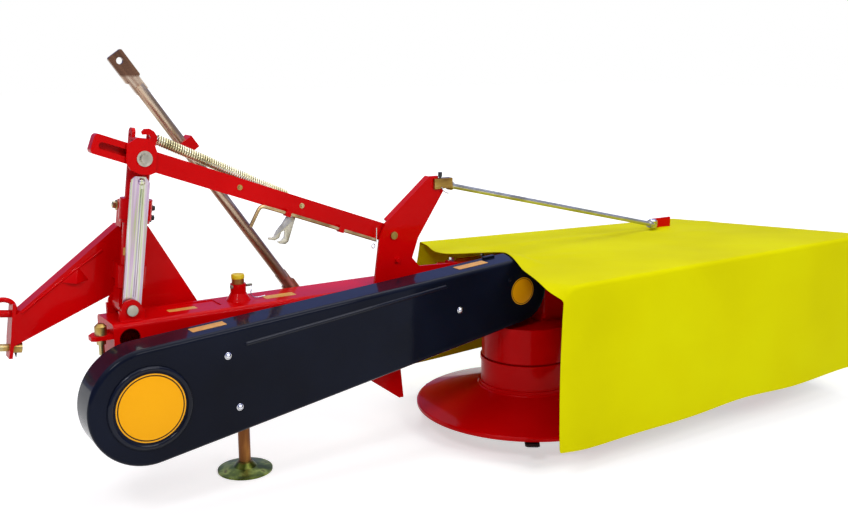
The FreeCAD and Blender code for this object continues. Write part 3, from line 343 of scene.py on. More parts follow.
black_scale = worked_metal("black_scaled_steel", "#141414", "#2A2928", 0.6, 0.50, 60.0, 0.3)
bare_steel = worked_metal("bare_ground_steel", "#75726E", "#A5A29C", 1.0, 0.38, 24.0, 0.15)
black_plastic = worked_metal("moulded_black_plastic", "#0D0D0E", "#161617", 0.0, 0.42, 400.0, 0.05)
yellow_plastic = worked_metal("moulded_yellow_plastic", "#D9B800", "#E6C808", 0.0, 0.40, 300.0, 0.05)
label_film = worked_metal("blank_yellow_label_film", "#C88C34", "#DCA246", 0.0, 0.45, 40.0, 0.02)
bright_zinc = worked_metal("bright_screw_zinc", "#B8B8BC", "#D8D8DC", 1.0, 0.22, 90.0, 0.02)
cast_grey = worked_metal("grey_iron_casting", "#6E6A5C", "#8E8A78", 0.4, 0.55, 120.0, 0.5)
print("steel and plastic finishes ready")

# %% [markdown]
# ## Coated cloth
# The hood is a polyester weave coated with yellow PVC. The threads lie about 1 mm apart and print
# through the coating as a fine ribbing, drawn here at 4 mm so that it still shows. The coating has a
# soft sheen, and the yellow leans to green where it is thin.

# %% Hood cloth
def coated_cloth():
    material, tree, shader, place = new_finish("coated_yellow_cloth")
    shade = add_node(tree, "ShaderNodeTexNoise",
                     {"Vector": place, "Scale": 2.2, "Detail": 2.0}).outputs["Fac"]
    tree.links.new(ramp(tree, shade, [(0.30, "#D0C900"), (0.52, "#D8D200"), (0.72, "#DBD802")]),
                   shader.inputs["Base Color"])
    weft = add_node(tree, "ShaderNodeTexWave", {"Vector": place, "Scale": 78.0, "Distortion": 0.4},
                    bands_direction="X").outputs["Fac"]
    warp = add_node(tree, "ShaderNodeTexWave", {"Vector": place, "Scale": 78.0, "Distortion": 0.4},
                    bands_direction="Z").outputs["Fac"]
    weave = add_node(tree, "ShaderNodeMath", {0: weft, 1: warp}, operation="ADD").outputs[0]
    crumple = add_node(tree, "ShaderNodeTexNoise", {"Vector": place, "Scale": 7.0, "Detail": 3.0,
                                                    "Distortion": 0.6}).outputs["Fac"]
    fine = add_node(tree, "ShaderNodeBump", {"Height": weave, "Strength": 0.10, "Distance": 0.0004})
    soft = add_node(tree, "ShaderNodeBump", {"Height": crumple, "Strength": 0.30, "Distance": 0.010,
                                             "Normal": fine.outputs["Normal"]})
    tree.links.new(soft.outputs["Normal"], shader.inputs["Normal"])
    shader.inputs["Roughness"].default_value = 0.58
    shader.inputs["Specular IOR Level"].default_value = 0.02
    return material


hood_cloth_finish = coated_cloth()
print("cloth finish:", hood_cloth_finish.name)

# %% [markdown]
# ## Dressing the CAD nodes
# Every node that stays visible takes one of those finishes. The record already names a finish slot
# for each node, so a small table turns slots into materials, and a few nodes get one of their own.

# %% Finishes on the CAD nodes
slot_finish = {
    "red_paint": red_enamel, "dark_paint": guard_enamel, "zinc_plate": clear_zinc,
    "yellow_zinc": yellow_zinc, "hood_cloth": hood_cloth_finish, "black_steel": black_scale,
    "skid_steel": bare_steel, "black_plastic": black_plastic,
}
own_finish = {
    "stand_leg": stand_zinc, "hood_brace": brace_zinc, "mast_link": channel_zinc,
    "stay_rod": stay_zinc, "bar_bolt": yellow_zinc,
}
slot_of = {part["node"]: part["material_slot"] for part in frame["record"]["subparts"]}

for name, node in nodes.items():
    finish = own_finish.get(name, slot_finish[slot_of[name]])
    for holder in node.material_slots:
        holder.material = finish
print("dressed nodes:", len(nodes))

# %% [markdown]
# ## The hood cloth
# The real hood is one sheet of coated cloth thrown over a frame of round tube and tied below: a flat
# top, a skirt at the back, one at the front and one at the mowing side, and an open edge towards the
# belt guard. It is modelled as one continuous sheet: rows of points run from the rear hem up, across
# the top and down to the front hem, and the side skirt joins them round soft corners.

# %% Measures of the hood
cloth_low, cloth_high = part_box("hood_cloth")
rear_y, front_y = cloth_low[1], cloth_high[1]
right_x = cloth_high[0]
rear_left_x, front_left_x = -0.270, -0.142
# the open edge, as (y, x) pairs from rear to front
left_edge = [(-0.500, -0.268), (-0.450, -0.288), (-0.400, -0.276), (-0.328, -0.246),
             (-0.233, -0.203), (-0.150, -0.163), (-0.068, -0.125), (-0.020, -0.104),
             (0.019, -0.092), (0.055, -0.105), (0.088, -0.150), (0.125, -0.205), (0.165, -0.235),
             (0.220, -0.236), (0.300, -0.208), (0.369, -0.178), (0.480, -0.142)]
# the rear hem, as (x, height) pairs from the guard to the mowing side
rear_hem = [(-0.276, 0.116), (-0.149, 0.103), (0.080, 0.106), (0.338, 0.111), (0.586, 0.126),
            (0.857, 0.121), (1.167, 0.132), (1.240, 0.130)]
print("hood cloth box:", [round(v, 3) for v in (*cloth_low, *cloth_high)])

# %% [markdown]
# The open edge and the rear hem wander as cut cloth does. Each is drawn by a few (place, value) pairs
# with a smooth curve through them: a cubic in every gap, whose slope at a pair comes from its two
# neighbours.

# %% A smooth curve through a few pairs
def between(table, at):
    if at <= table[0][0]:
        return table[0][1]
    if at >= table[-1][0]:
        return table[-1][1]
    k = next(i for i in range(1, len(table)) if at <= table[i][0])
    (a, va), (b, vb) = table[k - 1], table[k]
    before, after = table[max(k - 2, 0)], table[min(k + 1, len(table) - 1)]
    gap = b - a
    lean_a = (vb - before[1]) / (b - before[0]) * gap
    lean_b = (after[1] - va) / (after[0] - a) * gap
    t = (at - a) / gap
    return ((2.0 * t ** 3 - 3.0 * t ** 2 + 1.0) * va + (t ** 3 - 2.0 * t ** 2 + t) * lean_a
            + (3.0 * t ** 2 - 2.0 * t ** 3) * vb + (t ** 3 - t ** 2) * lean_b)


print("the open edge at the middle:", round(between(left_edge, 0.0), 3))

# %% [markdown]
# The top isn't flat. It lies on the tubes of the frame and sags a few millimetres between them, and
# it falls towards the front, where a low ridge crosses it. The rounded end of the belt guard lifts it
# at the left, and three soft folds fan out from there. A few places stand up or sink on their own, and
# the rear left corner hangs.

# %% Measures of the top
bar_xs = (0.205, 0.905)
left_x, left_tube_x = -0.273, -0.255
corner_heights = {"rear_left": 0.6340, "rear_right": 0.6460, "front_left": 0.6110, "front_right": 0.5720}
below_corners = 0.0035
half_span, sag_depth = 0.33, 0.007
ridge_x, ridge_y, ridge_slope = 0.4, 0.235, 0.05
ridge_height, ridge_width = 0.004, 0.028
fold_start_x, fold_start_y, fold_reach = -0.09, -0.02, 0.18
# each fold: its slope across the top, and its height
folds = [(0.55, 0.007), (0.15, 0.008), (-0.35, 0.007)]
# each swell: its rise, its middle (x, y) and its spread (x, y)
swells = [(0.0050, (0.885, 0.0), (0.070, 0.080)), (-0.0090, (0.832, 0.222), (0.034, 0.040)),
          (-0.012, (-0.290, -0.500), (0.045, 0.070)), (-0.034, (-0.285, -0.512), (0.030, 0.040))]
droop_x, droop_run, droop_depth = -0.240, 0.05, 0.008
print("fall from the rear right corner to the front right one:",
      round(corner_heights["rear_right"] - corner_heights["front_right"], 3))


# %% The guard, the folds and the swells under the top
def swell(x, y, middle, spread):
    """1 at the middle, falling softly to 0 over the spread."""
    return math.exp(-((x - middle[0]) / spread[0]) ** 2 - ((y - middle[1]) / spread[1]) ** 2)


def over_guard(x, y):
    """The cloth is carried by the guard's rounded end, and slopes away from it on both sides."""
    tip_x, tip_z, tip_radius = -0.103, 0.517, 0.112
    near_y, far_y = -0.095, 0.010
    gap, slope, edge_drop, edge_run = 0.0045, 0.09, 0.0010, 0.05
    reach = max(tip_radius ** 2 - max(x - tip_x, 0.0) ** 2, 0.0) ** 0.5
    beside = max(near_y - y, y - far_y, 0.0)
    return tip_z + reach + gap - slope * beside - edge_drop * min(beside / edge_run, 1.0)


def fold_height(x, y):
    """Folds that start at the guard's end, and widen and fade as they run on."""
    run = x - fold_start_x
    width = 0.012 + 0.10 * max(run, 0.0)
    height = 0.0
    for slope, gain in folds:
        off = (y - fold_start_y) - slope * run
        height += gain * math.exp(-(off / width) ** 2) * math.exp(-max(run, 0.0) / fold_reach)
    return height


print("the cloth over the guard's end:", round(over_guard(-0.103, 0.0), 4))


# %% The height of the top
def top_height(x, y):
    across = (x - left_x) / (right_x - left_x)
    along = (y - rear_y) / (front_y - rear_y)
    rear = corner_heights["rear_left"] * (1.0 - across) + corner_heights["rear_right"] * across
    front = corner_heights["front_left"] * (1.0 - across) + corner_heights["front_right"] * across
    z = rear * (1.0 - along) + front * along - below_corners
    inside = math.sin(math.pi * min(max(along, 0.0), 1.0))
    nearest = min(abs(x - bar) for bar in bar_xs + (right_x, left_tube_x))
    sag = min(nearest / half_span, 1.0)
    z -= sag_depth * inside * sag * sag
    from_ridge = y - ridge_y - ridge_slope * (x - ridge_x)
    ridge = math.exp(-(from_ridge / ridge_width) ** 2) * ridge_height
    z += ridge * inside + fold_height(x, y)
    z = max(z, over_guard(x, y))
    for rise, middle, spread in swells:
        z += rise * swell(x, y, middle, spread)
    droop = max(0.0, droop_x - x) / droop_run
    return z - droop_depth * min(droop, 1.0) ** 2 * (1.0 - inside)


print("height at the middle of the top:", round(top_height(0.48, 0.0), 4))

# %% [markdown]
# The sheet is built as a grid of rows (rear to front) and columns (guard to mowing side). Where a
# column passes a crease it is bent on a radius of 16 mm, so the edge of the top catches a soft line
# of light as folded cloth does. The columns lie closer beside the open edge, where the top curves
# most.

# %% Rows and columns of the sheet
crease = 0.016
inset = 0.0015
quarter = [18.0 * k for k in range(6)]
back_y, fore_y, side_x = rear_y + inset, front_y - inset, right_x - inset
rows_skirt, rows_flat, columns_flat = 16, 40, 56
# shares of the way from the open edge to the mowing side
near_shares = [0.0, 0.006, 0.012] + [i / columns_flat / 2.0 for i in range(2, 24)]
far_shares = [i / columns_flat for i in range(12, columns_flat)]
column_steps = [(share, 0.0) for share in near_shares + far_shares]
column_steps += [(1.0, bend) for bend in quarter]


def crease_run(bend):
    """How far a crease still reaches out, where it has turned by this angle."""
    return crease * (1.0 - math.sin(math.radians(bend)))


flat_run = fore_y - back_y - 2.0 * crease
row_steps = [(back_y + crease_run(bend), bend) for bend in reversed(quarter[1:])]
row_steps += [(back_y + crease + flat_run * j / rows_flat, 0.0) for j in range(rows_flat + 1)]
row_steps += [(fore_y - crease_run(bend), bend) for bend in quarter[1:]]
print("rows:", len(row_steps), "columns:", len(column_steps))

# %% [markdown]
# A column starts at the rear hem, climbs the rear skirt, crosses the top and falls to the front hem.
# Towards the hem the skirts swing in slow waves, the sum of a few sines of different length. Beside
# the guard the free edges of both skirts bow out a little, the front one more.

# %% One column of the sheet
skirt_out, wave_depth = 0.004, 0.007
rear_lean, front_lean = 0.006, 0.055
front_hem_z, front_hem_wave = 0.125, 0.008


def skirt_wave(x, down):
    slow = math.sin(5.1 * x + 0.7) * 0.55 + math.sin(11.3 * x + 2.1) * 0.30 + math.sin(2.3 * x) * 0.4
    return slow * wave_depth * down ** 1.3


def step_across(left, share, bend):
    """The place of a column between the left edge and the mowing side."""
    return left + (side_x - crease - left) * share + crease * math.sin(math.radians(bend))


def fall(bend_a, bend_b):
    """How far the cloth has dropped where it turns over one crease, or over two at a corner."""
    turn = min(1.0, math.hypot(math.sin(math.radians(bend_a)), math.sin(math.radians(bend_b))))
    return crease * (1.0 - math.sqrt(1.0 - turn * turn))


def section(share, bend):
    """One column of the sheet, from the rear hem over the top to the front hem."""
    points = []
    flare = 1.0 - share
    x = step_across(rear_left_x, share, bend)
    hem_z = between(rear_hem, x)
    top_z = top_height(x, back_y) - crease
    for i in range(rows_skirt):
        down = 1.0 - i / rows_skirt
        px = x - rear_lean * flare ** 6 * (down ** 2 + math.sin(math.pi * down))
        py = back_y - skirt_out * down + skirt_wave(x, down)
        points.append(Vector((px, py, top_z - (top_z - hem_z) * down)))
    for y, roll in row_steps:
        px = step_across(between(left_edge, y), share, bend)
        points.append(Vector((px, y, top_height(px, y) - fall(bend, roll))))
    x = step_across(front_left_x, share, bend)
    hem_z = front_hem_z + front_hem_wave * math.sin(6.0 * x)
    top_z = top_height(x, fore_y) - crease
    for i in range(1, rows_skirt + 1):
        down = i / rows_skirt
        px = x - front_lean * flare ** 5 * math.sin(math.pi * 0.5 * down)
        py = fore_y + skirt_out * down + skirt_wave(x + 0.8, down)
        points.append(Vector((px, py, top_z - (top_z - hem_z) * down)))
    return points


print("points in one column:", len(section(0.0, 0.0)))

# %% [markdown]
# The side skirt hangs from the last column. Its two outer edges are the same points as the ends of the
# rear and front skirts, so the sheet stays in one piece round both corners.

# %% The side skirt
side_hem_z, side_hem_fall, side_hem_wave = 0.130, 0.005, 0.006
side_out, side_wave = 0.003, 0.005


def side_point(corner, down):
    """A point of the side skirt, straight below a point of the last column."""
    share = (corner.y - back_y) / (fore_y - back_y)
    hem_z = side_hem_z - side_hem_fall * share + side_hem_wave * math.sin(9.0 * share)
    swing = math.sin(7.0 * corner.y + 1.0) * side_wave * down ** 1.3
    return Vector((side_x + side_out * down + swing, corner.y, corner.z - (corner.z - hem_z) * down))


def build_sheet():
    vertices, faces, index = [], [], {}
    for i, (share, bend) in enumerate(column_steps):
        for j, point in enumerate(section(share, bend)):
            index[i, j] = len(vertices)
            vertices.append(point)
    last_column, last_row = len(column_steps) - 1, rows_skirt * 2 + len(row_steps) - 1
    for i in range(last_column):
        for j in range(last_row):
            faces.append((index[i, j], index[i + 1, j], index[i + 1, j + 1], index[i, j + 1]))
    edge = list(range(rows_skirt, rows_skirt + len(row_steps)))
    below = [index[last_column, j] for j in edge]
    for k in range(1, rows_skirt + 1):
        row = [index[last_column, rows_skirt - k]]
        for j in edge[1:-1]:
            row.append(len(vertices))
            vertices.append(side_point(vertices[index[last_column, j]], k / rows_skirt))
        row.append(index[last_column, edge[-1] + k])
        for a in range(len(edge) - 1):
            faces.append((below[a], row[a], row[a + 1], below[a + 1]))
        below = row
    mesh = bpy.data.meshes.new("hood_sheet")
    mesh.from_pydata(vertices, [], faces)
    mesh.update()
    return mesh


hood_sheet = bpy.data.objects.new("hood_sheet", build_sheet())
bpy.context.collection.objects.link(hood_sheet)

# %% [markdown]
# Two passes finish the cloth. A subdivision rounds the grid, and Solidify gives the coated weave its
# 1.6 mm. An open sheet has no inside of its own, so a face in the middle of the top tells which way it
# looks. The wall then grows inwards, and the outside stays where it was drawn.

# %% Finishing the sheet
top_middle = Vector((0.5, 0.0, 0.62))
cloth_thickness = 0.0016
use_modifier(hood_sheet, "SUBSURF", levels=1, render_levels=1)
close_up(hood_sheet)
centre_face = min(hood_sheet.data.polygons, key=lambda face: (face.center - top_middle).length)
if centre_face.normal.z < 0.0:
    bpy.ops.object.mode_set(mode="EDIT")
    bpy.ops.mesh.flip_normals()
    bpy.ops.object.mode_set(mode="OBJECT")
use_modifier(hood_sheet, "SOLIDIFY", thickness=cloth_thickness, offset=-1.0)
fit(hood_sheet, hood_cloth_finish, "frame", smooth_deg=60.0)
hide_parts("hood_cloth")

# %% [markdown]
# ## The relief spring
# The spring above the top bar takes part of the cutting gear's weight. It is wound closely from 6 mm
# wire, about 32 mm across. A coil is a small circle that turns round an axis while it moves along it,
# which is just what the Screw modifier makes, so all the turns are wound in one pass and the coil is
# then stood along the line between its two hooks.

# %% Winding the spring
wire_radius = 0.0030
coil_radius = 0.0128
wanted_pitch = 0.0073
steps_a_turn = 18
left_end = Vector((-1.2554, 0.117, 1.0645))
right_end = Vector((-0.8585, 0.117, 0.8747))
spring_way = (right_end - left_end).normalized()
coil_start = left_end - spring_way * 0.006
coil_end = right_end - spring_way * 0.008
coil_length = (coil_end - coil_start).length
turns = int(coil_length / wanted_pitch)
print("turns:", turns, "pitch mm:", round(coil_length / turns * 1000.0, 2))

deselect_all()
bpy.ops.mesh.primitive_circle_add(vertices=8, radius=wire_radius, location=(coil_radius, 0.0, 0.0),
                                  rotation=(math.radians(90.0), 0.0, 0.0))
relief_coil = named("relief_coil")
settle(relief_coil)
use_modifier(relief_coil, "SCREW", angle=math.radians(360.0) * turns, screw_offset=coil_length,
             steps=steps_a_turn * turns, render_steps=steps_a_turn * turns, axis="Z",
             use_merge_vertices=False, use_normal_calculate=True)
along_spring = spring_way.to_track_quat("Z", "Y").to_matrix().to_4x4()
relief_coil.matrix_world = Matrix.Translation(coil_start) @ along_spring
fit(relief_coil, spring_zinc, "top_bar", smooth_deg=60.0)
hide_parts("relief_spring")

# %% [markdown]
# ## Tools for the small parts
# Bolts, caps and screws are turned or hexagonal: each is raised from a disc with one extrude and one
# scale per step. It is made standing at the origin, and is then aimed along its real axis.

# %% Aiming and turning
up, down = (0.0, 0.0, 1.0), (0.0, 0.0, -1.0)
left, right = (-1.0, 0.0, 0.0), (1.0, 0.0, 0.0)
back = (0.0, -1.0, 0.0)


def aim(piece, start, way, roll_deg=0.0):
    """Stands a piece that was made at the origin on a point, with its axis along a direction."""
    settle(piece)
    turn = Vector(way).to_track_quat("Z", "Y").to_matrix().to_4x4()
    roll = Matrix.Rotation(math.radians(roll_deg), 4, "Z")
    piece.matrix_world = Matrix.Translation(start) @ turn @ roll
    return settle(piece)


def turned(name, sides, steps, start, way=up, roll_deg=0.0):
    """A round or six-sided part from (radius, height) steps in millimetres."""
    first_radius, first_height = steps[0]
    deselect_all()
    bpy.ops.mesh.primitive_circle_add(vertices=sides, radius=first_radius / 1000.0, fill_type="NGON",
                                      location=(0.0, 0.0, first_height / 1000.0))
    piece = named(name)
    bpy.ops.object.mode_set(mode="EDIT")
    bpy.ops.mesh.select_all(action="SELECT")
    for (r0, h0), (r1, h1) in zip(steps, steps[1:]):
        raised = (0.0, 0.0, (h1 - h0) / 1000.0)
        bpy.ops.mesh.extrude_region_move(TRANSFORM_OT_translate={"value": raised})
        bpy.ops.transform.resize(value=(r1 / r0, r1 / r0, 1.0))
    bpy.ops.object.mode_set(mode="OBJECT")
    return aim(close_up(piece), start, way, roll_deg)


print("turning tool ready")

# %% [markdown]
# Labels and the claw are cut from sheet: the corners of a disc are moved to the outline, and the face
# is extruded. Wire parts are a curve with a round section, made a mesh at the end. Some parts are two
# pieces joined.

# %% Cutting, bending and joining
def cut_plate(name, outline, raise_by, corner=0.0, edge=0.0):
    """A flat piece: corners in metres, a push for the thickness, rounded corners and a broken edge."""
    deselect_all()
    bpy.ops.mesh.primitive_circle_add(vertices=len(outline), radius=0.1, fill_type="NGON")
    piece = named(name)
    for vertex, place in zip(piece.data.vertices, outline):
        vertex.co = place
    bpy.ops.object.mode_set(mode="EDIT")
    bpy.ops.mesh.select_all(action="SELECT")
    if corner:
        bpy.ops.mesh.bevel(offset=corner, segments=4, affect="VERTICES")
        bpy.ops.mesh.select_all(action="SELECT")
    bpy.ops.mesh.extrude_region_move(TRANSFORM_OT_translate={"value": raise_by})
    bpy.ops.object.mode_set(mode="OBJECT")
    close_up(piece)
    if edge:
        use_modifier(piece, "BEVEL", width=edge, segments=2, limit_method="ANGLE")
    return piece


def bent_wire(name, points, radius, swell_each=(1.0,)):
    """A bent wire or a weld bead: a smooth curve with a round section, which may swell and shrink."""
    line = bpy.data.curves.new(name, "CURVE")
    line.dimensions = "3D"
    spline = line.splines.new("NURBS")
    spline.points.add(len(points) - 1)
    for k, (point, place) in enumerate(zip(spline.points, points)):
        point.co = (*place, 1.0)
        point.radius = swell_each[k % len(swell_each)]
    spline.order_u = 3
    spline.use_endpoint_u = True
    spline.resolution_u = 6
    line.bevel_depth = radius
    line.bevel_resolution = 3
    line.use_fill_caps = True
    piece = bpy.data.objects.new(name, line)
    bpy.context.collection.objects.link(piece)
    pick(piece)
    bpy.ops.object.convert(target="MESH")
    return named(name)


def join(name, pieces):
    pick(*pieces)
    bpy.ops.object.join()
    return named(name)


print("cutting and bending tools ready")

# %% [markdown]
# Two solids return all over the machine: a hexagon bolt with its washer, and a dome screw. A hexagon
# head is chamfered on a lathe, which breaks its top edge; the last step of each head draws that. The
# dome screw has a small hollow in its crown.

# %% Bolts and screws
head_roll_deg = 12.0
washer_mm = 1.6


def hex_bolt(name, start, way, flats):
    """A bolt head or nut, by its size across flats in millimetres, standing on a washer."""
    corner = flats / math.sqrt(3.0)
    tall = 0.62 * flats
    washer_steps = [(flats * 0.92, 0.0), (flats * 0.92, washer_mm * 0.8), (flats * 0.89, washer_mm)]
    head_steps = [(corner, washer_mm), (corner, tall + washer_mm * 0.6), (corner * 0.88, tall + washer_mm)]
    ring = turned(name + "_washer", 28, washer_steps, start, way)
    head = turned(name, 6, head_steps, start, way, head_roll_deg)
    return join(name, [head, ring])


def dome_screw(name, start, way, radius):
    rise = [math.radians(a) for a in range(10, 90, 16)]
    dome = [(radius * 0.82 * math.cos(a), 1.6 + radius * 0.62 * math.sin(a)) for a in rise]
    crown = dome[-1][1]
    head_steps = [(radius * 0.82, 1.0)] + dome + [(radius * 0.30, crown), (radius * 0.26, crown - 1.8)]
    flange = turned(name + "_flange", 28, [(radius, 0.0), (radius, 1.0), (radius * 0.9, 1.6)], start, way)
    head = turned(name, 28, head_steps, start, way)
    return join(name, [head, flange])


print("bolt patterns ready")

# %% [markdown]
# ## On the belt guard
# Three dome screws hold the guard. The round plates are printed film: an orange disc with a thin dark
# ring near its edge, left blank here. The ring is drawn by the distance from the disc's centre, and a
# little noise keeps its edge from being too sharp.

# %% Printed discs
film_orange, film_edge = ("#FFB204", "#FCAE04"), ("#FBB01C", "#F4A818")
ring_brown, rim_brown = "#2A1704", "#1A1208"


def printed_disc(name, centre, radius, ring_share):
    material, tree, shader, place = new_finish(name + "_film")
    to_centre = tuple(-c for c in centre)
    middle = add_node(tree, "ShaderNodeMapping", {"Vector": place, "Location": to_centre}).outputs["Vector"]
    away = add_node(tree, "ShaderNodeVectorMath", {0: middle}, operation="LENGTH").outputs["Value"]
    share = add_node(tree, "ShaderNodeMath", {0: away, 1: radius}, operation="DIVIDE").outputs[0]
    fade = add_node(tree, "ShaderNodeTexNoise",
                    {"Vector": place, "Scale": 30.0, "Detail": 3.0}).outputs["Fac"]
    drift = add_node(tree, "ShaderNodeMath", {0: fade, 1: 0.006, 2: share},
                     operation="MULTIPLY_ADD").outputs[0]
    colour = ramp(tree, drift, [(0.0, film_orange[0]), (ring_share - 0.012, film_orange[1]),
                                (ring_share, ring_brown), (ring_share + 0.026, ring_brown),
                                (ring_share + 0.038, film_edge[0]), (0.992, film_edge[1]),
                                (1.0, rim_brown)])
    tree.links.new(colour, shader.inputs["Base Color"])
    shader.inputs["Roughness"].default_value = 0.42
    shader.inputs["Specular IOR Level"].default_value = 0.15
    radius_mm = radius * 1000.0
    steps = [(radius_mm, 0.0), (radius_mm, 0.35), (radius * 994.0, 0.5)]
    fit(turned(name, 64, steps, centre, back), material, "frame")


printed_disc("guard_disc_large", (-1.3895, -0.1002, 0.3600), 0.0985, 0.925)
printed_disc("guard_disc_small", (-0.0990, -0.0952, 0.5175), 0.0475, 0.900)

# %% [markdown]
# Rectangular labels of the same orange lie on the guard's top flange, which rises towards the drums,
# and on the arm. Their outlines follow the slope, and 0.4 mm of thickness lifts them off the paint.

# %% Guard screws and labels
screw_places = [(-1.161, 0.4685), (-1.131, 0.3105), (-0.358, 0.4880)]
guard_screws = [dome_screw(f"guard_screw_{k}", (x, -0.0950, z), back, 10.5)
                for k, (x, z) in enumerate(screw_places, 1)]
fit_all(guard_screws, bright_zinc, "frame")

film_thickness = (0.0, 0.0, 0.0004)
label_corner = 0.003


def flange_z(x):
    """Height of the guard's top flange, which rises towards the drums."""
    return 0.5382 + (x + 1.2434) * (0.6220 - 0.5382) / (1.2434 - 0.1953) + 0.0003


def label(name, x0, x1, y0, y1, z0, z1):
    """A printed label, whose height runs from z0 at its left end to z1 at its right."""
    corners = [(x0, y0, z0), (x1, y0, z1), (x1, y1, z1), (x0, y1, z0)]
    return cut_plate(name, corners, film_thickness, corner=label_corner)


labels = [label(name, x0, x1, y0, y1, flange_z(x0), flange_z(x1)) for name, x0, x1, y0, y1 in
          [("guard_label_left", -1.243, -1.140, -0.046, -0.006),
           ("guard_label_right", -0.330, -0.212, -0.052, -0.012)]]
labels += [label(name, x0, x1, y0, y1, z, z) for name, x0, x1, y0, y1, z in
           [("arm_label_1", -1.245, -1.158, 0.131, 0.166, 0.5572),
            ("arm_label_2", -0.942, -0.838, 0.120, 0.158, 0.5602)]]
fit_all(labels, label_film, "frame")

# %% [markdown]
# ## Bolts on the arm, the bar and the mast
# The bolts are gathered in one table: which body carries them, where they stand, which way they face
# and their size across flats. Those on the mast's collar stand square to its lean.

# %% The bolt table
mast_lean = math.radians(mast_lean_deg)
mast_right = (math.cos(mast_lean), 0.0, -math.sin(mast_lean))
mast_left = tuple(-c for c in mast_right)
lid_top = 0.5840
# name, body, place, direction, size across flats in millimetres, finish, slot
bolts = [
    ("bracket_bolt", "frame", (-0.4903, 0.0790, 0.6392), back, 14.0, red_enamel, "red_paint"),
    ("bar_rivet_left", "top_bar", (-1.0273, 0.0920, 0.9174), back, 9.0, yellow_zinc, "zinc_plate"),
    ("bar_rivet_right", "top_bar", (-0.8258, 0.0920, 0.8459), back, 9.0, yellow_zinc, "zinc_plate"),
    ("collar_bolt", "headstock", (-1.3443, 0.265, 0.870), mast_left, 17.0, yellow_zinc, "yellow_zinc"),
    ("collar_nut_high", "headstock", (-1.2712, 0.172, 0.866), mast_right, 14.0, black_scale, "black_steel"),
    ("collar_nut_low", "headstock", (-1.2750, 0.172, 0.838), mast_right, 14.0, black_scale, "black_steel"),
    ("breather_plug", "frame", (-0.1880, 0.1960, lid_top), up, 17.0, bright_zinc, "zinc_plate"),
    ("brace_bolt", "frame", (0.8420, 0.2190, 0.6130), back, 15.0, bright_zinc, "zinc_plate"),
]
lid_places = [(x, y) for x in (-0.05, 0.085) for y in (0.104, 0.200)]
bolts += [(f"lid_screw_{k}", "frame", (x, y, lid_top), up, 11.0, clear_zinc, "zinc_plate")
          for k, (x, y) in enumerate(lid_places, 1)]
for name, body, start, way, flats, finish, slot in bolts:
    fit(hex_bolt(name, start, way, flats), finish, body)

# %% [markdown]
# ## Caps, pins and spring clips
# The stand's tube has a moulded cap, and is pinned through its sleeve. A clip hangs from that pin, a
# split pin ends the latch rod, and a hairpin holds the fork of the thin brace. The clips are wire,
# bent cold and zinc plated, and come from one table of routes.

# %% Caps, pins and clips
stand_cap = turned("stand_cap", 32, [(19.4, -3.0), (20.4, -2.0), (20.4, 8.0), (19.0, 10.5), (12.0, 11.5)],
                   (-1.018, 0.158, 0.6310))
fit(stand_cap, yellow_plastic, "stand")

pin_shank = turned("pin_shank", 16, [(3.6, 0.0), (4.2, 1.0), (4.2, 18.0), (3.2, 19.5)],
                   (-0.9950, 0.1500, 0.6050), right)
pin_head = turned("pin_head", 16, [(5.5, -2.0), (6.5, 0.0), (6.5, 4.0), (5.0, 5.0)],
                  (-1.0410, 0.1500, 0.6050), left)
fit(join("stand_pin", [pin_shank, pin_head]), cast_grey, "frame")

clips = [
    ("stand_clip", "frame", 0.0016,
     [(-0.981, 0.150, 0.605), (-0.979, 0.143, 0.596), (-0.986, 0.140, 0.580),
      (-0.978, 0.140, 0.566), (-0.955, 0.141, 0.564), (-0.936, 0.143, 0.566)]),
    ("latch_split_pin", "top_bar", 0.0015,
     [(-0.5690, 0.0765, 0.7545), (-0.5692, 0.0760, 0.7440), (-0.5694, 0.0760, 0.7300),
      (-0.5700, 0.0765, 0.7060)]),
    ("fork_hairpin", "frame", 0.0017,
     [(-0.3200, 0.0680, 0.8700), (-0.3170, 0.0670, 0.8580), (-0.3040, 0.0670, 0.8500),
      (-0.2930, 0.0670, 0.8460), (-0.2870, 0.0680, 0.8520)]),
]
for name, body, radius, route in clips:
    fit(bent_wire(name, route, radius), bright_zinc, body, smooth_deg=60.0)

# %% [markdown]
# The latch rod is a bar of nearly 12 mm, laid along the top bar and bent down at its upper end. A claw
# of 5 mm plate with two curved prongs hangs beside it. Both stand for plainer CAD nodes: the curve
# gives the rod its true bend, and the claw's outline is pushed out and its edges are broken.

# %% Latch rod and claw
latch_route = [(-0.5683, 0.7134), (-0.7016, 0.7623), (-0.8894, 0.8312), (-0.9438, 0.8511),
               (-0.9669, 0.8580), (-0.9825, 0.8328), (-1.0019, 0.7974)]
latch_wire = bent_wire("latch_wire", [(x, 0.084, z) for x, z in latch_route], 0.0058)
fit(latch_wire, latch_zinc, "top_bar", smooth_deg=60.0)
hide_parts("latch_rod")

claw_outline = [(-0.8719, 0.8164), (-0.8424, 0.8087), (-0.8553, 0.7717), (-0.8689, 0.7355),
                (-0.8785, 0.7286), (-0.9002, 0.7330), (-0.9069, 0.7395), (-0.8921, 0.7430),
                (-0.8833, 0.7514), (-0.8802, 0.7727), (-0.8913, 0.7680), (-0.8996, 0.7502),
                (-0.9137, 0.7438), (-0.9350, 0.7488), (-0.9371, 0.7547), (-0.9179, 0.7564),
                (-0.9065, 0.7753), (-0.8873, 0.7949), (-0.8776, 0.8083)]
latch_claw = cut_plate("latch_claw", [(x, 0.1040, z) for x, z in claw_outline], (0.0, 0.0050, 0.0),
                       edge=0.0010)
fit(latch_claw, clear_zinc, "top_bar")
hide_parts("latch_fork")

# %% [markdown]
# A dark pointed pin end shows below the left clevis, and a small ring hangs from the latch's split
# pin. A torus makes the ring, and the same helper makes the guard's rolled rim further on.

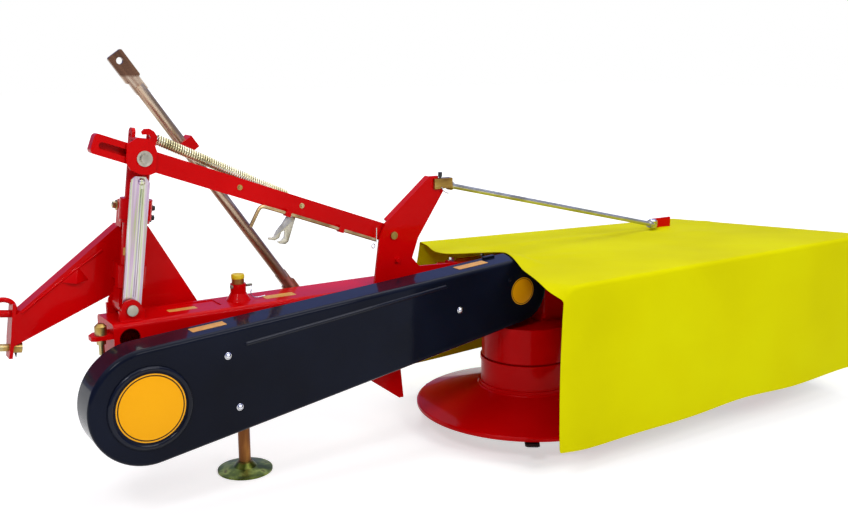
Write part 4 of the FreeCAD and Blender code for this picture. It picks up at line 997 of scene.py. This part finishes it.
# %% Pin end and rings
def wire_ring(name, centre, radius, wire, turn_deg, finish, body):
    deselect_all()
    bpy.ops.mesh.primitive_torus_add(major_radius=radius, minor_radius=wire, major_segments=28,
                                     minor_segments=8, location=centre,
                                     rotation=[math.radians(a) for a in turn_deg])
    fit(named(name), finish, body, smooth_deg=60.0)


hitch_pin_end = turned("hitch_pin_end", 16, [(4.4, 0.0), (3.8, 8.0), (1.0, 21.0)],
                       (-1.6530, 0.2850, 0.4720), down)
fit(hitch_pin_end, black_scale, "headstock")
wire_ring("latch_ring", (-0.5810, 0.0775, 0.6960), 0.0070, 0.0014, (90.0, 20.0, 10.0),
          bright_zinc, "top_bar")

# %% [markdown]
# ## Small forms on the headstock
# The left leg has a pressed rib under its top edge and a small gusset, and a bent round bar bridges
# the left clevis. The gusset is a shallow pyramid: a three-sided cone whose corners are moved to the
# places where the real one is folded, with its edges broken.

# %% Rib, gusset and arch
leg_rib = bent_wire("left_leg_rib", [(-1.6330, 0.2570, 0.5840), (-1.5500, 0.2570, 0.6420),
                                     (-1.4700, 0.2570, 0.6960), (-1.3960, 0.2570, 0.7420)], 0.0035)
deselect_all()
bpy.ops.mesh.primitive_cone_add(vertices=3, radius1=0.05, radius2=0.0, depth=0.02)
leg_gusset = named("left_leg_gusset")
gusset_foot = [(-1.5270, 0.2590, 0.6600), (-1.4690, 0.2590, 0.7050), (-1.4390, 0.2590, 0.6570)]
base = [v for v in leg_gusset.data.vertices if v.co.z < 0.0]
apex = next(v for v in leg_gusset.data.vertices if v.co.z > 0.0)
for vertex, place in zip(base, gusset_foot):
    vertex.co = place
apex.co = (-1.4800, 0.2400, 0.6520)
use_modifier(close_up(leg_gusset), "BEVEL", width=0.002, segments=2)
clevis_arch = bent_wire("clevis_arch", [(-1.7080, 0.2840, 0.5500), (-1.7100, 0.2840, 0.6080),
                                        (-1.6860, 0.2840, 0.6260), (-1.6580, 0.2840, 0.6200),
                                        (-1.6440, 0.2840, 0.6020), (-1.6450, 0.2840, 0.5600)], 0.0075)
fit_all([leg_rib, leg_gusset, clevis_arch], red_enamel, "headstock", smooth_deg=50.0)

# %% [markdown]
# The mast leans over its hinge, so what lies on it is placed by its distance beside and above the
# hinge, and one function turns that to a place in the frame. A bead is pressed down the middle of the
# zinc channel, a screw holds its upper end, and a narrow label lies on the mast's left edge.

# %% On the leaning mast
hinge_x, hinge_z = -1.368, 0.590


def leaned(across_mm, y, up_mm):
    return (hinge_x + (across_mm * math.cos(mast_lean) + up_mm * math.sin(mast_lean)) / 1000.0, y,
            hinge_z + (up_mm * math.cos(mast_lean) - across_mm * math.sin(mast_lean)) / 1000.0)


channel_bead = bent_wire("channel_bead", [leaned(9.0, 0.1110, h) for h in (36.0, 120.0, 230.0, 346.0)],
                         0.0042)
channel_screw = turned("channel_screw", 28, [(10.0, 0.0), (10.0, 2.0), (8.0, 5.0), (4.0, 6.0)],
                       leaned(6.0, 0.1110, 366.0), back)
fit_all([channel_bead, channel_screw], channel_zinc, "mast", smooth_deg=50.0)

label_edges = ((-21.0, 0.1460), (-12.0, 0.1410))
label_low, label_high = ([leaned(across, y, up_mm) for across, y in label_edges] for up_mm in (150.0, 172.0))
mast_label = cut_plate("mast_label", label_low + label_high[::-1], (0.0006, 0.0012, 0.0), corner=0.002)
fit(mast_label, label_film, "mast")

# %% [markdown]
# The belt guard is pressed from sheet. A rolled rim runs round its large disc and a long rib stiffens
# its middle; both take the glossier copy of the guard's paint, so that they catch a stronger line of
# light. A small catch stands on its top flange, and the hood's thin brace ends in a turned casting.

# %% Guard catch, rim and rib, and the brace's end
guard_latch = cut_plate("guard_latch", [(-0.196, -0.006, 0.6225), (-0.150, -0.006, 0.6258),
                                        (-0.150, 0.010, 0.6258), (-0.196, 0.010, 0.6225)],
                        (0.0, 0.0, 0.0065), corner=0.004, edge=0.0015)
fit(guard_latch, guard_enamel, "frame")
wire_ring("guard_rim", (-1.3895, -0.0965, 0.3600), 0.1115, 0.0080, (90.0, 0.0, 0.0),
          rim_highlight_enamel, "frame")
guard_rib = bent_wire("guard_rib", [(-1.1040, -0.0912, 0.4945), (-0.7600, -0.0912, 0.5334),
                                    (-0.4157, -0.0912, 0.5724)], 0.0073)
fit(guard_rib, rim_highlight_enamel, "frame", smooth_deg=60.0)

brace_casting = turned("brace_end_casting", 28, [(13.0, 0.0), (17.5, 3.0), (17.5, 31.0), (13.0, 37.0)],
                       (0.842, 0.225, 0.5970))
fit(brace_casting, bright_zinc, "frame")

# %% [markdown]
# Welds are laid as rows of small overlapping puddles. A bead is drawn as a round wire whose radius
# swells and shrinks every few millimetres, half sunk in the corner that it fills. All of them lie on
# top of the arm.

# %% Weld beads
arm_top = 0.5605
puddle = 0.005
seams = [("bracket_weld_near", (-0.577, 0.0785), (-0.249, 0.0785), 0.0040),
         ("bracket_weld_far", (-0.529, 0.1370), (-0.411, 0.1370), 0.0040),
         ("ear_weld_near", (-1.400, 0.0945), (-1.336, 0.0945), 0.0038),
         ("flange_weld", (-0.2475, 0.0900), (-0.2475, 0.2200), 0.0040)]


def weld(name, start, end, radius):
    run = end - start
    count = max(int(run.length / puddle), 3)
    points = [tuple(start + run * (k / count)) for k in range(count + 1)]
    bead = bent_wire(name, points, radius, swell_each=(0.82, 1.12))
    fit(bead, red_enamel, "frame", smooth_deg=60.0)


for name, start, end, radius in seams:
    weld(name, Vector((*start, arm_top)), Vector((*end, arm_top)), radius)
print("welds laid:", len(seams))

# %% [markdown]
# ## Stage
# The machine stands on a plain studio floor, painted a light grey. A little emission that only the
# camera and reflections see lifts it to paper white, and the shadow stays. The lift is weaker near the
# machine, where the grey reads as soft shade.

# %% Floor
deselect_all()
bpy.ops.mesh.primitive_plane_add(size=60.0, location=(0.0, 0.0, -0.0005))
floor = named("studio_floor")
settle(floor)
floor_finish, floor_tree, floor_shader, floor_place = new_finish("studio_floor_paint")
floor_shader.inputs["Base Color"].default_value = (0.80, 0.80, 0.80, 1.0)
floor_shader.inputs["Roughness"].default_value = 0.9
floor_shader.inputs["Specular IOR Level"].default_value = 0.0
ray = add_node(floor_tree, "ShaderNodeLightPath").outputs
seen = add_node(floor_tree, "ShaderNodeMath", {0: ray["Is Camera Ray"], 1: ray["Is Glossy Ray"]},
                operation="MAXIMUM").outputs[0]
seen = add_node(floor_tree, "ShaderNodeMath", {0: seen, 1: ray["Is Transmission Ray"]},
                operation="MAXIMUM").outputs[0]
far = add_node(floor_tree, "ShaderNodeVectorMath", {0: floor_place}, operation="LENGTH").outputs["Value"]
lift = add_node(floor_tree, "ShaderNodeMapRange", {"Value": far, "From Min": 2.0, "From Max": 6.0,
                                                   "To Min": 0.52, "To Max": 1.0}).outputs["Result"]
glow = add_node(floor_tree, "ShaderNodeMath", {0: seen, 1: lift}, operation="MULTIPLY").outputs[0]
floor_shader.inputs["Emission Color"].default_value = (1.0, 1.0, 1.0, 1.0)
floor_tree.links.new(glow, floor_shader.inputs["Emission Strength"])
floor.data.materials.append(floor_finish)
print("floor laid")

# %% [markdown]
# The world gives soft light from all round. The camera sees it as white paper. Glossy rays see a grey
# band low down, a blue-violet above it and a bright pale sky overhead, as paint does in open shade.

# %% World
world = bpy.data.worlds.new("studio")
bpy.context.scene.world = world
world.use_nodes = True
sky = world.node_tree
sky.nodes.clear()
ray = add_node(sky, "ShaderNodeLightPath").outputs
direction = add_node(sky, "ShaderNodeTexCoord").outputs["Generated"]
height = add_node(sky, "ShaderNodeSeparateXYZ", {"Vector": direction}).outputs["Z"]
tint = ramp(sky, height, [(0.0, "#989CB8"), (0.12, "#7484D8"), (0.45, "#8894CC"), (0.80, "#D4D8E8")])
zenith = add_node(sky, "ShaderNodeMapRange", {"Value": height, "From Min": 0.45, "From Max": 0.85,
                                              "To Min": 1.0, "To Max": 3.0}).outputs["Result"]
soft = add_node(sky, "ShaderNodeBackground", {"Color": (0.80, 0.82, 0.86, 1.0), "Strength": 0.50})
mirror = add_node(sky, "ShaderNodeBackground", {"Color": tint, "Strength": zenith})
paper = add_node(sky, "ShaderNodeBackground", {"Color": (1.0, 1.0, 1.0, 1.0), "Strength": 1.0})
lit = add_node(sky, "ShaderNodeMixShader", {0: ray["Is Glossy Ray"], 1: soft.outputs[0],
                                            2: mirror.outputs[0]}).outputs[0]
seen = add_node(sky, "ShaderNodeMath", {0: ray["Is Camera Ray"], 1: ray["Is Transmission Ray"]},
                operation="MAXIMUM").outputs[0]
shown = add_node(sky, "ShaderNodeMixShader", {0: seen, 1: lit, 2: paper.outputs[0]}).outputs[0]
add_node(sky, "ShaderNodeOutputWorld", {"Surface": shown})
print("world nodes:", len(sky.nodes))

# %% [markdown]
# Three softboxes light the machine: a large key from behind it, a small fill from the left that draws
# the edges of the headstock, and a wide one overhead.

# %% Lamps
def soft_lamp(name, place, target, size, watts, colour=(1.0, 1.0, 1.0)):
    lamp = bpy.data.lights.new(name, "AREA")
    lamp.shape = "RECTANGLE"
    lamp.size, lamp.size_y = size
    lamp.energy = watts
    lamp.color = colour
    holder = bpy.data.objects.new(name, lamp)
    bpy.context.collection.objects.link(holder)
    way = Vector(target) - Vector(place)
    holder.matrix_world = Matrix.Translation(place) @ way.to_track_quat("-Z", "Y").to_matrix().to_4x4()


soft_lamp("key_softbox", (0.4, -4.4, 3.6), (0.0, 0.0, 0.4), (2.4, 1.8), 105.0, (1.0, 0.99, 0.97))
soft_lamp("fill_softbox", (-3.1, -2.3, 3.4), (-0.8, 0.0, 0.4), (0.9, 0.9), 46.0, (0.96, 0.97, 1.0))
soft_lamp("top_softbox", (0.2, 0.6, 4.2), (0.0, 0.0, 0.4), (3.0, 2.4), 62.0)
print("lamps hung")

# %% [markdown]
# ## Camera
# The camera stands behind the machine and to its left, 1.3 m above the ground, and looks twelve
# degrees down.

# %% Camera
lens = bpy.data.cameras.new("camera")
lens.sensor_width = 36.0
lens.lens = 42.45
camera = bpy.data.objects.new("camera", lens)
camera.location = (-2.187, -2.666, 1.308)
camera.rotation_euler = (math.radians(78.0), 0.0, math.radians(-33.3))
bpy.context.collection.objects.link(camera)
bpy.context.scene.camera = camera
bpy.context.scene.view_settings.view_transform = "Standard"
print("camera at", tuple(round(v, 3) for v in camera.location))
